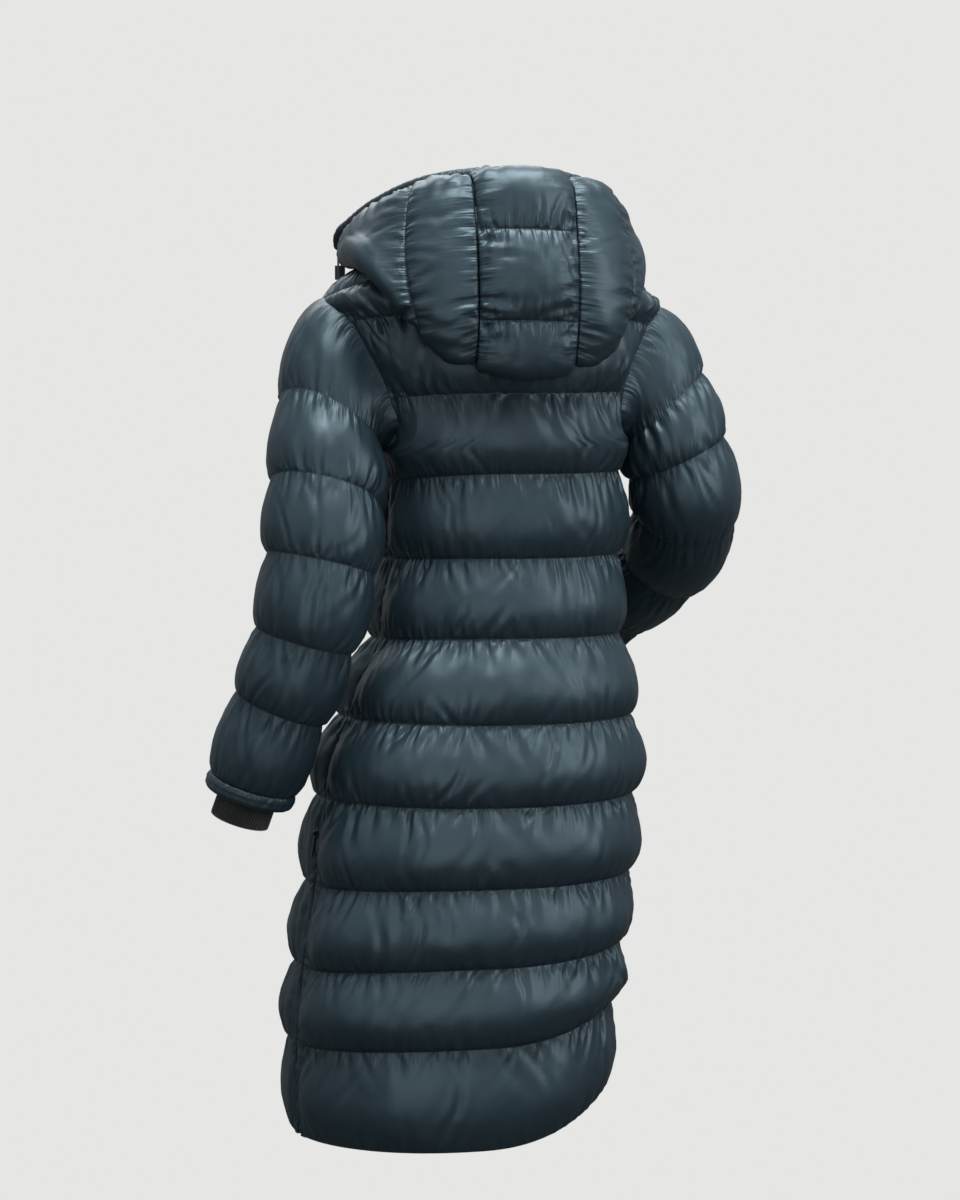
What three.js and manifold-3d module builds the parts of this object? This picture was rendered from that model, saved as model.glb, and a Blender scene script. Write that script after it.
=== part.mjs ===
// Long quilted puffer coat in its worn shape, hood down, left sleeve hanging and right sleeve bent.
// Millimetres, +Z up. The front faces -Y, the back faces +Y and the wearer's left is +X.
// The origin is the middle of the neck base, where the wearer's shoulders carry the coat.
import * as THREE from 'three';
import Module from 'manifold-3d';
import { mergeVertices } from 'three/addons/utils/BufferGeometryUtils.js';

// Cloth and seams
const SEAM_GAP = 0.4;
const SIDE_GAP = 0.5;
const TAPE_GAP = 0.6;
const WALL = 4;
const SECTION_POWER = 0.87;
const FULLEST = 1.36;
const PUFF_SHAPE = 0.72;
const EDGE_RISE = 34;
const ROW_STEPS = [0, 0.17, 0.45, 0.78];
const ARMHOLE_STEPS = [0, 0.14, 0.38, 0.64, 0.86];
const ARMHOLE_CHANNEL = 8;
const BACK_COLUMNS = 22;
const FRONT_COLUMNS = 11;

// Side seams, vents and front zip
const SIDE_SEAM_ANGLE = 8 * Math.PI / 180;
const VENT_TOP = 4;
const VENT_HALF_GAP = 6;
const ZIP_HALF_GAP = 7;
const TAPE_THICKNESS = 1.6;
const TAPE_LIFT = 1.2;
const ZIP_BOTTOM = 0.7;

// Armholes
const ARMPIT_LEVEL = ARMHOLE_CHANNEL + ARMHOLE_STEPS[2];
const SHOULDER_LEVEL = 11;
const ARMHOLE_ANGLE = 29 * Math.PI / 180;
const ARMHOLE_CLEARANCE = 1.2;
const CUTTER_GROWTH = 1.3;
const ARMPIT_REACH = 75;
const HEAD_LEAVE = 60;

// One row for each stitch line from the hem up, then the shoulder ring and the neck ring.
// Half widths and depths are the plain inside; heights are given on four sides.
const BODY = [
  { wide: 186, back: 140, front: 142, x: 50, left: -1086, rear: -1092, right: -1030, fore: -1082, puff: 15 },
  { wide: 192, back: 146, front: 146, x: 47, left: -976, rear: -970, right: -926, fore: -968, puff: 17 },
  { wide: 193, back: 148, front: 146, x: 38, left: -886, rear: -876, right: -859, fore: -872, puff: 17 },
  { wide: 192, back: 148, front: 145, x: 25, left: -788, rear: -783, right: -776, fore: -780, puff: 17 },
  { wide: 188, back: 146, front: 142, x: 16, left: -684, rear: -688, right: -681, fore: -684, puff: 17 },
  { wide: 174, back: 138, front: 136, x: 3, left: -588, rear: -592, right: -586, fore: -588, puff: 17 },
  { wide: 146, back: 122, front: 124, x: -10, left: -494, rear: -491, right: -488, fore: -494, puff: 16 },
  { wide: 139, back: 116, front: 122, x: -15, left: -397, rear: -396, right: -390, fore: -398, puff: 16 },
  { wide: 141, back: 124, front: 130, x: -14, left: -303, rear: -296, right: -290, fore: -302, puff: 17 },
  { wide: 168, back: 128, front: 128, x: -4, left: -208, rear: -202, right: -192, fore: -210, puff: 16 },
  { wide: 203, back: 120, front: 112, x: 0, left: -118, rear: -108, right: -116, fore: -124, puff: 13 },
  { wide: 200, back: 102, front: 88, x: 0, left: -88, rear: -46, right: -88, fore: -66, puff: 9 },
  { wide: 84, back: 80, front: 72, x: 0, left: -12, rear: 0, right: -12, fore: -34, puff: 0 },
];
const TOP_LEVEL = BODY.length - 1;

// One row for each stitch line down a sleeve: centre, half width, half depth and the slant of
// the ring, as how far its inner side lags behind its outer side in degrees.
const LEFT_SLEEVE = [
  { x: 203, y: 34, z: -236, wide: 56, deep: 62, slant: 27, puff: 9 },
  { x: 214, y: 62, z: -318, wide: 61, deep: 60, slant: 11, puff: 9 },
  { x: 223, y: 76, z: -401, wide: 60, deep: 58, slant: 4, puff: 9 },
  { x: 242, y: 72, z: -491, wide: 54, deep: 55, slant: 0, puff: 9 },
  { x: 268, y: 55, z: -571, wide: 50, deep: 51, slant: 2, puff: 9 },
  { x: 297, y: 37, z: -661, wide: 47, deep: 47, slant: -2, puff: 0 },
];
const RIGHT_SLEEVE = [
  { x: -217, y: 18, z: -214, wide: 56, deep: 60, slant: 27, puff: 9 },
  { x: -234, y: 26, z: -274, wide: 58, deep: 60, slant: 12, puff: 9 },
  { x: -252, y: 12, z: -346, wide: 55, deep: 57, slant: 0, puff: 9 },
  { x: -250, y: -72, z: -402, wide: 50, deep: 52, slant: 0, puff: 9 },
  { x: -211, y: -150, z: -452, wide: 48, deep: 49, slant: 0, puff: 9 },
  { x: -172, y: -212, z: -494, wide: 46, deep: 46, slant: 0, puff: 0 },
];
const SLEEVE_STEPS = [0, 0.2, 0.5, 0.8];
const HEAD_PUFF = 9;
const HEAD_FULLEST = 1.25;
const HEAD_SHAPE = 1.1;

// One row for each line round the hood, from the rim over the back, under and up to the neck.
// Each is a curve through four places: the coat's middle line at the back, the flank, the
// shoulder and the front edge.
const HOOD = [
  { back: [138, 50], flank: [96, 104, 42], cap: [142, 20, 20], end: [158, -88, -4] },
  { back: [172, 38], flank: [114, 122, 30], cap: [157, 38, 4], end: [162, -82, -16] },
  { back: [187, -16], flank: [126, 134, -18], cap: [164, 58, -20], end: [164, -76, -29] },
  { back: [193, -68], flank: [129, 147, -64], cap: [169, 82, -36], end: [163, -70, -34] },
  { back: [191, -120], flank: [121, 158, -110], cap: [166, 100, -50], end: [157, -64, -33] },
  { back: [176, -172], flank: [99, 158, -148], cap: [150, 104, -38], end: [143, -62, -20] },
  { back: [164, -150], flank: [86, 150, -120], cap: [130, 90, -14], end: [126, -60, -6] },
  { back: [140, -60], flank: [80, 122, -44], cap: [115, 56, 6], end: [112, -58, 0] },
  { back: [107, 17], flank: [73, 87, 18], cap: [104, 22, 17], end: [103, -54, 4] },
];

// How far the hood's right half is drawn in from the mirror image of its left half
const RIGHT_DRAW = { x: 12, y: 20, z: 16 };
const HOOD_WALL = 4;
const REST_GAP = 0.4;
const HOOD_CENTRE_HALF = 58;
const HOOD_PUFF = 13;
const HOOD_SEAM_GAP = 1.4;
const HOOD_FLANK_SEAM = 0.25;
const HOOD_ROW_STEPS = 3;
const HOOD_CENTRE_COLUMNS = 8;
const HOOD_SIDE_COLUMNS = 12;
const UNDER_LEVEL = 6;

// Cuffs
const CUFF_COLUMNS = 20;
const BAND_LENGTH = 18;
const BAND_PUFF = 3.5;
const RIB_WALL = 2.6;
const RIB_HIDDEN = 26;
const RIB_SHOWN = 30;
const RIB_DROP = 11;

// Zip slider and its pull tab
const SLIDER = { width: 8, depth: 6, length: 13 };
const LUG = { outer: 2.9, hole: 1.8, rise: 2.3, thickness: 2.2 };
const PULL = { width: 7, length: 30, thickness: 1.6, slotWidth: 3.4, slotLength: 3.2 };
const SLIDER_SEAT = 0.9;
const FLAT_ENDS = { bevelEnabled: false, curveSegments: 3 };

// Stand collar: its top edge flares and parts at the front
const COLLAR = { wide: 99, back: 90, front: 108, backZ: 50, sideZ: 32, foreZ: 0, part: 34 };
const COLLAR_COLUMNS = 22;
const COLLAR_GAP = 0.6;
const COLLAR_WALL = 4;
const COLLAR_PUFF = 5;
const COLLAR_ROWS = [0, 0.15, 0.5, 0.85, 1];

// Drawcord rim round the hood's opening
const RIM_DEEP = 7.5;
const RIM_TALL = 10;
const RIM_SIDES = 8;
const RIM_STEPS = 26;
const RIM_GAP = 0.8;
const RIM_TIP = [
  { reach: 6, drop: 1, scale: 1 },
  { reach: 13, drop: 4, scale: 1 },
  { reach: 20, drop: 9, scale: 0.9 },
  { reach: 25, drop: 14, scale: 0.55 },
];

// Cord lock and drawcord loop under each end of the rim; offsets are from the rim's end.
const LOCK = { width: 13, depth: 9, height: 17, hole: 4.4, halfGap: 2.3, drop: 38 };
const CORD_DIAMETER = 2.4;
const CORD_HALF_ROUTE = [
  { x: 2.3, z: -1.4 },
  { x: 2.3, z: -10 },
  { x: 2.3, z: -19 },
  { x: 2.3, z: -28 },
  { x: 2.3, z: -37 },
  { x: 2.3, z: -46 },
  { x: 4.6, z: -53 },
  { x: 5.8, z: -59 },
  { x: 3.9, z: -64.4 },
];
const CORD_BOTTOM = { x: 0, z: -66.4 };
const CORD_SIDES = 6;
const CORD_REACH = 11;

// Where the sliders stand, as levels
const FRONT_SLIDER_LEVEL = 11.45;
const VENT_SLIDER_LEVEL = 3.6;

function degrees(value) {
  return value * Math.PI / 180;
}

// Smooth curve through one named column of a table.
function sample(table, key, level) {
  const last = table.length - 1;
  const start = Math.min(Math.max(Math.floor(level), 0), last - 1);
  const t = level - start;
  const p1 = table[start][key];
  const p2 = table[start + 1][key];
  const p0 = start > 0 ? table[start - 1][key] : 2 * p1 - p2;
  const p3 = start + 2 <= last ? table[start + 2][key] : 2 * p2 - p1;
  const slope1 = (p2 - p0) / 2;
  const slope2 = (p3 - p1) / 2;
  const a = 2 * t ** 3 - 3 * t ** 2 + 1;
  const b = t ** 3 - 2 * t ** 2 + t;
  const c = 3 * t ** 2 - 2 * t ** 3;
  const d = t ** 3 - t ** 2;
  return a * p1 + b * slope1 + c * p2 + d * slope2;
}

// The same curve through a column whose cells hold several numbers.
function sampleParts(table, key, level) {
  return table[0][key].map((_, i) => (
    sample(table.map((row) => ({ part: row[key][i] })), 'part', level)
  ));
}

function spread(value) {
  return Math.sign(value) * Math.abs(value) ** SECTION_POWER;
}

// Plain inside of the body at a level and an angle: 0 is the wearer's left, 90 degrees the back.
function bodyInside(level, angle) {
  const c = Math.cos(angle);
  const s = Math.sin(angle);
  const depth = s > 0 ? sample(BODY, 'back', level) : sample(BODY, 'front', level);
  const sideHeight = c > 0 ? sample(BODY, 'left', level) : sample(BODY, 'right', level);
  const faceHeight = s > 0 ? sample(BODY, 'rear', level) : sample(BODY, 'fore', level);
  return new THREE.Vector3(
    sample(BODY, 'x', level) + spread(c) * sample(BODY, 'wide', level),
    spread(s) * depth,
    sideHeight * c * c + faceHeight * s * s,
  );
}

function bodyNormal(level, angle) {
  const step = 0.02;
  const low = Math.max(level - step, 0);
  const high = Math.min(level + step, TOP_LEVEL);
  const along = bodyInside(level, angle + step).sub(bodyInside(level, angle - step));
  const up = bodyInside(high, angle).sub(bodyInside(low, angle));
  return along.cross(up).normalize();
}

function bodyPoint(level, angle, lift) {
  return bodyInside(level, angle).addScaledVector(bodyNormal(level, angle), lift);
}

// Millimetres of cloth for each radian round the body.
function arcSpeed(level, angle) {
  const step = 0.02;
  const span = bodyInside(level, angle + step).distanceTo(bodyInside(level, angle - step));
  return span / (2 * step);
}

// Padding between two stitch lines: 0 at each line and fullest a little below the middle.
function puffProfile(level) {
  const fromTop = 1 - (level - Math.floor(level));
  return Math.sin(Math.PI * fromTop ** FULLEST) ** PUFF_SHAPE;
}

// The padding is pinched unevenly along each stitch line, so every channel swells a little.
function swell(level, angle) {
  const channel = Math.floor(level);
  return 1 + 0.09 * Math.sin(angle * 7 + channel * 1.9) + 0.05 * Math.sin(angle * 13 + channel * 4.1);
}

// The padding is thin beside a seam; beside an armhole it rises more slowly.
function edgeFactor(distance, level) {
  const share = Math.min(1, distance / EDGE_RISE);
  const beside = THREE.MathUtils.smoothstep(level, ARMPIT_LEVEL - 0.6, ARMPIT_LEVEL);
  return THREE.MathUtils.lerp(Math.sqrt(share), share, beside);
}

// Angle of the cloth's edge beside the side seam, the vent and the armhole. face is 1 for the
// back and -1 for the front; side is 1 for the wearer's left and -1 for the right.
function edgeAngle(level, side, face) {
  const seam = SIDE_SEAM_ANGLE;
  let fromSide = seam;
  if (level > ARMPIT_LEVEL && level < SHOULDER_LEVEL) {
    const share = (level - ARMPIT_LEVEL) / (SHOULDER_LEVEL - ARMPIT_LEVEL);
    const round = Math.sqrt(1 - (2 * share ** 0.6 - 1) ** 2);
    fromSide = seam * (1 - share) + face * ARMHOLE_ANGLE * round;
  } else if (level >= SHOULDER_LEVEL) {
    fromSide = 0;
  }
  const middle = side > 0 ? fromSide : Math.PI - fromSide;
  const opening = THREE.MathUtils.smoothstep(VENT_TOP - level, 0, 0.35);
  const inArmhole = level > ARMPIT_LEVEL && level < SHOULDER_LEVEL;
  const half = inArmhole ? 0 : SIDE_GAP / 2 + opening * (VENT_HALF_GAP - SIDE_GAP / 2);
  return middle + side * face * half / arcSpeed(level, middle);
}

// Angle of a front panel's edge beside the zip, a set distance from the middle line.
function zipAngle(level, side, distance) {
  const reach = (distance / sample(BODY, 'wide', level)) ** (1 / SECTION_POWER);
  return 1.5 * Math.PI + side * Math.asin(reach);
}

// The padding is pressed flat where the sleeve leaves the body under the arm.
function armpitFactor(level, angle) {
  const place = bodyInside(level, angle);
  const side = Math.cos(angle) > 0 ? 1 : -1;
  const armpit = bodyInside(ARMPIT_LEVEL, side > 0 ? SIDE_SEAM_ANGLE : Math.PI - SIDE_SEAM_ANGLE);
  return THREE.MathUtils.smoothstep(place.distanceTo(armpit), 0, ARMPIT_REACH);
}

function thicknessAt(level, angle, edges) {
  const nearest = Math.min(...edges.map((edge) => Math.abs(angle - edge)));
  const distance = nearest * arcSpeed(level, angle);
  const puff = sample(BODY, 'puff', Math.min(Math.floor(level), TOP_LEVEL));
  const fullness = puffProfile(level) * swell(level, angle);
  return WALL + puff * fullness * edgeFactor(distance, level) * armpitFactor(level, angle);
}

function bodyLevels() {
  const levels = [];
  for (let channel = 0; channel < TOP_LEVEL; channel += 1) {
    const steps = channel < ARMHOLE_CHANNEL ? ROW_STEPS : ARMHOLE_STEPS;
    for (const step of steps) levels.push(channel + step);
  }
  levels.push(TOP_LEVEL);
  return levels;
}

// Strip of triangles between two lines of points that may differ in count.
function stitch(triangles, first, second) {
  let i = 0;
  let j = 0;
  while (i < first.length - 1 || j < second.length - 1) {
    const nextFirst = (i + 1) / (first.length - 1);
    const nextSecond = (j + 1) / (second.length - 1);
    const stepFirst = j === second.length - 1 || (i < first.length - 1 && nextFirst <= nextSecond);
    if (stepFirst) {
      triangles.push(first[i], second[j], first[i + 1]);
      i += 1;
    } else {
      triangles.push(first[i], second[j], second[j + 1]);
      j += 1;
    }
  }
}

// Closed wall between an outer and an inner grid of points with the same columns. The inner one
// may have fewer rows; fineEdges gives its first and last columns the outer grid's rows back.
// A tube's columns close on themselves.
function wall(outer, inner, { isTube = false, fineEdges = null } = {}) {
  const positions = [];
  const triangles = [];
  const number = (row) => row.map((point) => {
    positions.push(point.x, point.y, point.z);
    return positions.length / 3 - 1;
  });
  const column = (grid, index) => grid.map((row) => row[index]);
  const lastColumn = outer[0].length - 1;
  const outside = outer.map(number);
  const core = fineEdges ? inner.map((row) => row.slice(1, lastColumn)) : inner;
  const inside = core.map(number);
  const closeRow = (row) => (isTube ? [...row, row[0]] : row);
  const surface = (grid, isInside) => {
    for (let r = 0; r < grid.length - 1; r += 1) {
      const low = closeRow(grid[r]);
      const high = closeRow(grid[r + 1]);
      for (let c = 0; c < low.length - 1; c += 1) {
        const quad = [low[c], low[c + 1], high[c + 1], high[c]];
        if (isInside) quad.reverse();
        triangles.push(quad[0], quad[1], quad[2], quad[0], quad[2], quad[3]);
      }
    }
  };
  surface(outside, false);
  surface(inside, true);
  let firstEdge = column(inside, 0);
  let lastEdge = column(inside, inside[0].length - 1);
  let bottom = closeRow(inside[0]);
  let top = closeRow(inside[inside.length - 1]);
  if (fineEdges) {
    const firstFine = number(fineEdges.first);
    const lastFine = number(fineEdges.last);
    stitch(triangles, firstEdge, firstFine);
    stitch(triangles, lastFine, lastEdge);
    bottom = [firstFine[0], ...bottom, lastFine[0]];
    top = [firstFine[firstFine.length - 1], ...top, lastFine[lastFine.length - 1]];
    firstEdge = firstFine;
    lastEdge = lastFine;
  }
  stitch(triangles, closeRow(outside[0]), bottom);
  stitch(triangles, closeRow(outside[outside.length - 1]).slice().reverse(), top.slice().reverse());
  if (!isTube) {
    stitch(triangles, column(outside, lastColumn), lastEdge);
    stitch(triangles, column(outside, 0).reverse(), firstEdge.slice().reverse());
  }
  const geometry = new THREE.BufferGeometry();
  geometry.setAttribute('position', new THREE.Float32BufferAttribute(positions, 3));
  geometry.setIndex(signedVolume(positions, triangles) < 0 ? flipped(triangles) : triangles);
  return geometry;
}

function signedVolume(positions, triangles) {
  const corner = (index) => new THREE.Vector3().fromArray(positions, index * 3);
  let total = 0;
  for (let i = 0; i < triangles.length; i += 3) {
    const cross = corner(triangles[i + 1]).cross(corner(triangles[i + 2]));
    total += corner(triangles[i]).dot(cross);
  }
  return total;
}

function flipped(triangles) {
  const turned = [];
  for (let i = 0; i < triangles.length; i += 3) {
    turned.push(triangles[i], triangles[i + 2], triangles[i + 1]);
  }
  return turned;
}

const wasm = await Module();
wasm.setup();

function solidOf(geometry) {
  const bare = new THREE.BufferGeometry();
  bare.setAttribute('position', geometry.getAttribute('position').clone());
  bare.setIndex(geometry.getIndex());
  const merged = mergeVertices(bare);
  const vertProperties = new Float32Array(merged.getAttribute('position').array);
  const triVerts = new Uint32Array(merged.getIndex().array);
  return new wasm.Manifold(new wasm.Mesh({ numProp: 3, vertProperties, triVerts }));
}

function geometryOf(solid) {
  const mesh = solid.getMesh();
  const result = new THREE.BufferGeometry();
  result.setAttribute('position', new THREE.Float32BufferAttribute(mesh.vertProperties, mesh.numProp));
  result.setIndex(new THREE.Uint32BufferAttribute(mesh.triVerts, 1));
  return result;
}

// Geometry with other solids cut away, keeping its largest body.
function trimmed(geometry, cutters) {
  let solid = solidOf(geometry);
  for (const cutter of cutters) solid = solid.subtract(solidOf(cutter));
  const bodies = solid.decompose().sort((a, b) => b.volume() - a.volume());
  return geometryOf(bodies[0]);
}

const coat = new THREE.Group();

const finishes = {
  shell: new THREE.MeshStandardMaterial({ color: 0x2d3a43, roughness: 0.45, metalness: 0 }),
  hood: new THREE.MeshStandardMaterial({ color: 0x3a4a53, roughness: 0.45, metalness: 0 }),
  rib: new THREE.MeshStandardMaterial({ color: 0x14130f, roughness: 0.95, metalness: 0 }),
  tape: new THREE.MeshStandardMaterial({ color: 0x101112, roughness: 0.8, metalness: 0 }),
  plastic: new THREE.MeshStandardMaterial({ color: 0x0e0e10, roughness: 0.4, metalness: 0 }),
  metal: new THREE.MeshStandardMaterial({ color: 0x17181a, roughness: 0.3, metalness: 0.8 }),
};

function addPiece(name, geometry, finish) {
  const piece = new THREE.Mesh(geometry, finishes[finish].clone());
  piece.name = name;
  coat.add(piece);
  return piece;
}

// A body panel between two edges that are functions of the level.
// grow makes it larger all round, to cut its neighbours with.
function bodyPanel({ columns, startEdge, endEdge }, grow = 0) {
  const levels = bodyLevels();
  const place = (level, column) => {
    const share = column / columns;
    const eased = share - 0.5 * Math.sin(2 * Math.PI * share) / (2 * Math.PI);
    const start = startEdge(level) - grow / arcSpeed(level, startEdge(level));
    const end = endEdge(level) + grow / arcSpeed(level, endEdge(level));
    return THREE.MathUtils.lerp(start, end, eased);
  };
  const outer = [];
  const inner = [];
  const fineEdges = { first: [], last: [] };
  for (const level of levels) {
    const step = level - Math.floor(level);
    const isMiddleRow = level > ARMHOLE_CHANNEL && Math.abs(step - ARMHOLE_STEPS[2]) < 0.01;
    const isInsideRow = step < 0.01 || isMiddleRow;
    const outerRow = [];
    const innerRow = [];
    for (let column = 0; column <= columns; column += 1) {
      const angle = place(level, column);
      const edges = [startEdge(level), endEdge(level)];
      outerRow.push(bodyPoint(level, angle, thicknessAt(level, angle, edges) + grow));
      innerRow.push(bodyPoint(level, angle, -grow));
    }
    outer.push(outerRow);
    fineEdges.first.push(innerRow[0]);
    fineEdges.last.push(innerRow[columns]);
    if (isInsideRow) inner.push(innerRow);
  }
  return wall(outer, inner, { fineEdges });
}

const BODY_PANELS = {
  back_panel: {
    columns: BACK_COLUMNS,
    startEdge: (level) => edgeAngle(level, 1, 1),
    endEdge: (level) => edgeAngle(level, -1, 1),
  },
  front_left: {
    columns: FRONT_COLUMNS,
    startEdge: (level) => zipAngle(level, 1, ZIP_HALF_GAP),
    endEdge: (level) => edgeAngle(level, 1, -1) + 2 * Math.PI,
  },
  front_right: {
    columns: FRONT_COLUMNS,
    startEdge: (level) => edgeAngle(level, -1, -1),
    endEdge: (level) => zipAngle(level, -1, ZIP_HALF_GAP),
  },
};

function buildBody() {
  for (const [name, panel] of Object.entries(BODY_PANELS)) {
    addPiece(name, bodyPanel(panel), 'shell');
  }
}

// The armhole's rim on the body: from the shoulder down the back and up the front.
function armholeRim(side) {
  const rows = bodyLevels().filter((level) => level > ARMPIT_LEVEL + 0.01 && level < SHOULDER_LEVEL - 0.01);
  const stations = [{ level: SHOULDER_LEVEL, face: 0 }];
  for (const level of rows.slice().reverse()) stations.push({ level, face: 1 });
  stations.push({ level: ARMPIT_LEVEL, face: 0 });
  for (const level of rows) stations.push({ level, face: -1 });
  const rim = stations.map(({ level, face }) => {
    const angle = face === 0
      ? (edgeAngle(level, side, 1) + edgeAngle(level, side, -1)) / 2
      : edgeAngle(level, side, face);
    return { inside: bodyInside(level, angle), outside: bodyPoint(level, angle, WALL) };
  });
  const centre = new THREE.Vector3();
  for (const { outside } of rim) centre.addScaledVector(outside, 1 / rim.length);
  const pull = (point) => {
    const way = centre.clone().sub(point).normalize();
    return point.clone().addScaledVector(way, ARMHOLE_CLEARANCE);
  };
  const outward = new THREE.Vector3(side, 0, 0).multiplyScalar(ARMHOLE_CLEARANCE);
  return rim.map(({ inside, outside }) => ({
    inside: pull(inside).add(outward),
    outside: pull(outside).add(outward),
  }));
}

// Ring of a sleeve at a level of its table: column 0 is the outer side and a quarter on the back.
function sleeveInside(table, side, level, angle) {
  const centre = (at) => new THREE.Vector3(
    sample(table, 'x', at),
    sample(table, 'y', at),
    sample(table, 'z', at),
  );
  const last = table.length - 1;
  const down = centre(Math.min(level + 0.1, last)).sub(centre(Math.max(level - 0.1, 0))).normalize();
  const outward = new THREE.Vector3(side, 0, 0);
  outward.addScaledVector(down, -outward.dot(down)).normalize();
  const backward = outward.clone().cross(down).multiplyScalar(side);
  const wide = sample(table, 'wide', level);
  const lag = -Math.tan(degrees(sample(table, 'slant', level))) * wide * Math.cos(angle);
  return centre(level)
    .addScaledVector(outward, wide * Math.cos(angle))
    .addScaledVector(backward, sample(table, 'deep', level) * Math.sin(angle))
    .addScaledVector(down, lag);
}

// Point of a sleeve's head, on a curve that leaves the armhole sideways and joins the sleeve.
function headPoint(start, table, side, angle, t) {
  const finish = sleeveInside(table, side, 0, angle);
  const speed = Math.min(HEAD_LEAVE, start.distanceTo(finish));
  const leave = new THREE.Vector3(side * speed, 0, 0);
  const join = sleeveInside(table, side, 0.1, angle).sub(finish).setLength(speed);
  return new THREE.Vector3()
    .addScaledVector(start, 2 * t ** 3 - 3 * t ** 2 + 1)
    .addScaledVector(leave, t ** 3 - 2 * t ** 2 + t)
    .addScaledVector(finish, 3 * t ** 2 - 2 * t ** 3)
    .addScaledVector(join, t ** 3 - t ** 2);
}

// Outward directions of a grid whose columns close on themselves.
function tubeNormals(grid) {
  return grid.map((row, r) => row.map((point, c) => {
    const before = row[(c + row.length - 1) % row.length];
    const after = row[(c + 1) % row.length];
    const low = grid[Math.max(r - 1, 0)][c];
    const high = grid[Math.min(r + 1, grid.length - 1)][c];
    const middle = row.reduce((sum, p) => sum.addScaledVector(p, 1 / row.length), new THREE.Vector3());
    const normal = after.clone().sub(before).cross(high.clone().sub(low)).normalize();
    return normal.dot(point.clone().sub(middle)) < 0 ? normal.negate() : normal;
  }));
}

function buildSleeve(name, table, side) {
  const rim = armholeRim(side);
  const count = rim.length;
  const base = [rim.map(({ inside }) => inside)];
  const thickness = [rim.map(() => WALL)];
  const insideRows = [0];
  const headSteps = [...SLEEVE_STEPS.slice(1), 1];
  for (const step of headSteps) {
    const row = [];
    const depth = [];
    const rise = Math.sin(Math.PI * step ** HEAD_FULLEST) ** HEAD_SHAPE;
    for (let c = 0; c < count; c += 1) {
      const angle = 2 * Math.PI * c / count;
      row.push(headPoint(rim[c].inside, table, side, angle, step));
      depth.push(WALL + HEAD_PUFF * rise * (0.6 + 0.4 * Math.cos(angle)));
    }
    base.push(row);
    thickness.push(depth);
  }
  insideRows.push(base.length - 1);
  for (let channel = 0; channel < table.length - 1; channel += 1) {
    const steps = [...SLEEVE_STEPS.slice(1), 1];
    for (const step of steps) {
      const row = [];
      const depth = [];
      for (let c = 0; c < count; c += 1) {
        const angle = 2 * Math.PI * c / count;
        row.push(sleeveInside(table, side, channel + step, angle));
        const uneven = 1 + 0.1 * Math.sin(3 * angle + channel * 2.3);
        const fullness = Math.sin(Math.PI * step ** FULLEST);
        depth.push(WALL + table[channel].puff * uneven * Math.max(fullness, 0) ** PUFF_SHAPE);
      }
      base.push(row);
      thickness.push(depth);
    }
    insideRows.push(base.length - 1);
  }
  const normals = tubeNormals(base);
  const outer = base.map((row, r) => row.map((point, c) => (
    r === 0 ? rim[c].outside : point.clone().addScaledVector(normals[r][c], thickness[r][c])
  )));
  const sleeve = wall(outer, insideRows.map((r) => base[r]), { isTube: true });
  const front = side > 0 ? BODY_PANELS.front_left : BODY_PANELS.front_right;
  const neighbours = [BODY_PANELS.back_panel, front];
  addPiece(name, trimmed(sleeve, neighbours.map((panel) => bodyPanel(panel, CUTTER_GROWTH))), 'shell');
}

// Curve of one hood line, from the right front edge round the back to the left front edge.
function hoodLine(level) {
  const place = (key) => new THREE.Vector3(...sampleParts(HOOD, key, level));
  const end = place('end');
  const cap = place('cap');
  const flank = place('flank');
  const [backY, backZ] = sampleParts(HOOD, 'back', level);
  const back = new THREE.Vector3(0, backY, backZ);
  const drawn = bump(level / UNDER_LEVEL);
  const mirror = (point) => new THREE.Vector3(
    drawn * RIGHT_DRAW.x - point.x,
    point.y - drawn * RIGHT_DRAW.y,
    point.z + drawn * RIGHT_DRAW.z,
  );
  const rightFlank = new THREE.Vector3(-flank.x, flank.y, flank.z);
  return new THREE.CatmullRomCurve3([mirror(end), mirror(cap), rightFlank, back, flank, cap, end]);
}

function shareAtX(line, x) {
  let low = 0;
  let high = 1;
  for (let i = 0; i < 24; i += 1) {
    const middle = (low + high) / 2;
    if (line.getPoint(middle).x < x) low = middle;
    else high = middle;
  }
  return (low + high) / 2;
}

function openNormals(grid) {
  return grid.map((row, r) => row.map((point, c) => {
    const before = row[Math.max(c - 1, 0)];
    const after = row[Math.min(c + 1, row.length - 1)];
    const low = grid[Math.max(r - 1, 0)][c];
    const high = grid[Math.min(r + 1, grid.length - 1)][c];
    return after.clone().sub(before).cross(high.clone().sub(low)).normalize();
  }));
}

// Hood panel between two shares of each hood line; puffAt gives the padding at a level and share.
function hoodPanel(name, columns, startShare, endShare, puffAt, restsOn = []) {
  const rows = (HOOD.length - 1) * HOOD_ROW_STEPS;
  const base = [];
  const puff = [];
  for (let r = 0; r <= rows; r += 1) {
    const level = r / HOOD_ROW_STEPS;
    const line = hoodLine(level);
    const from = startShare(line);
    const to = endShare(line);
    const row = [];
    const depth = [];
    for (let c = 0; c <= columns; c += 1) {
      const across = c / columns;
      row.push(line.getPoint(THREE.MathUtils.lerp(from, to, across)));
      depth.push(puffAt(level, across));
    }
    base.push(row);
    puff.push(depth);
  }
  const normals = openNormals(base);
  const outer = base.map((row, r) => row.map((point, c) => (
    point.clone().addScaledVector(normals[r][c], HOOD_WALL + puff[r][c])
  )));
  const inner = base.filter((row, r) => r % HOOD_ROW_STEPS === 0);
  const fineEdges = { first: base.map((row) => row[0]), last: base.map((row) => row[columns]) };
  const panel = wall(outer, inner, { fineEdges });
  const cutters = restsOn.map((body) => bodyPanel(body, REST_GAP));
  addPiece(name, cutters.length > 0 ? trimmed(panel, cutters) : panel, 'hood');
}

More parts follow.
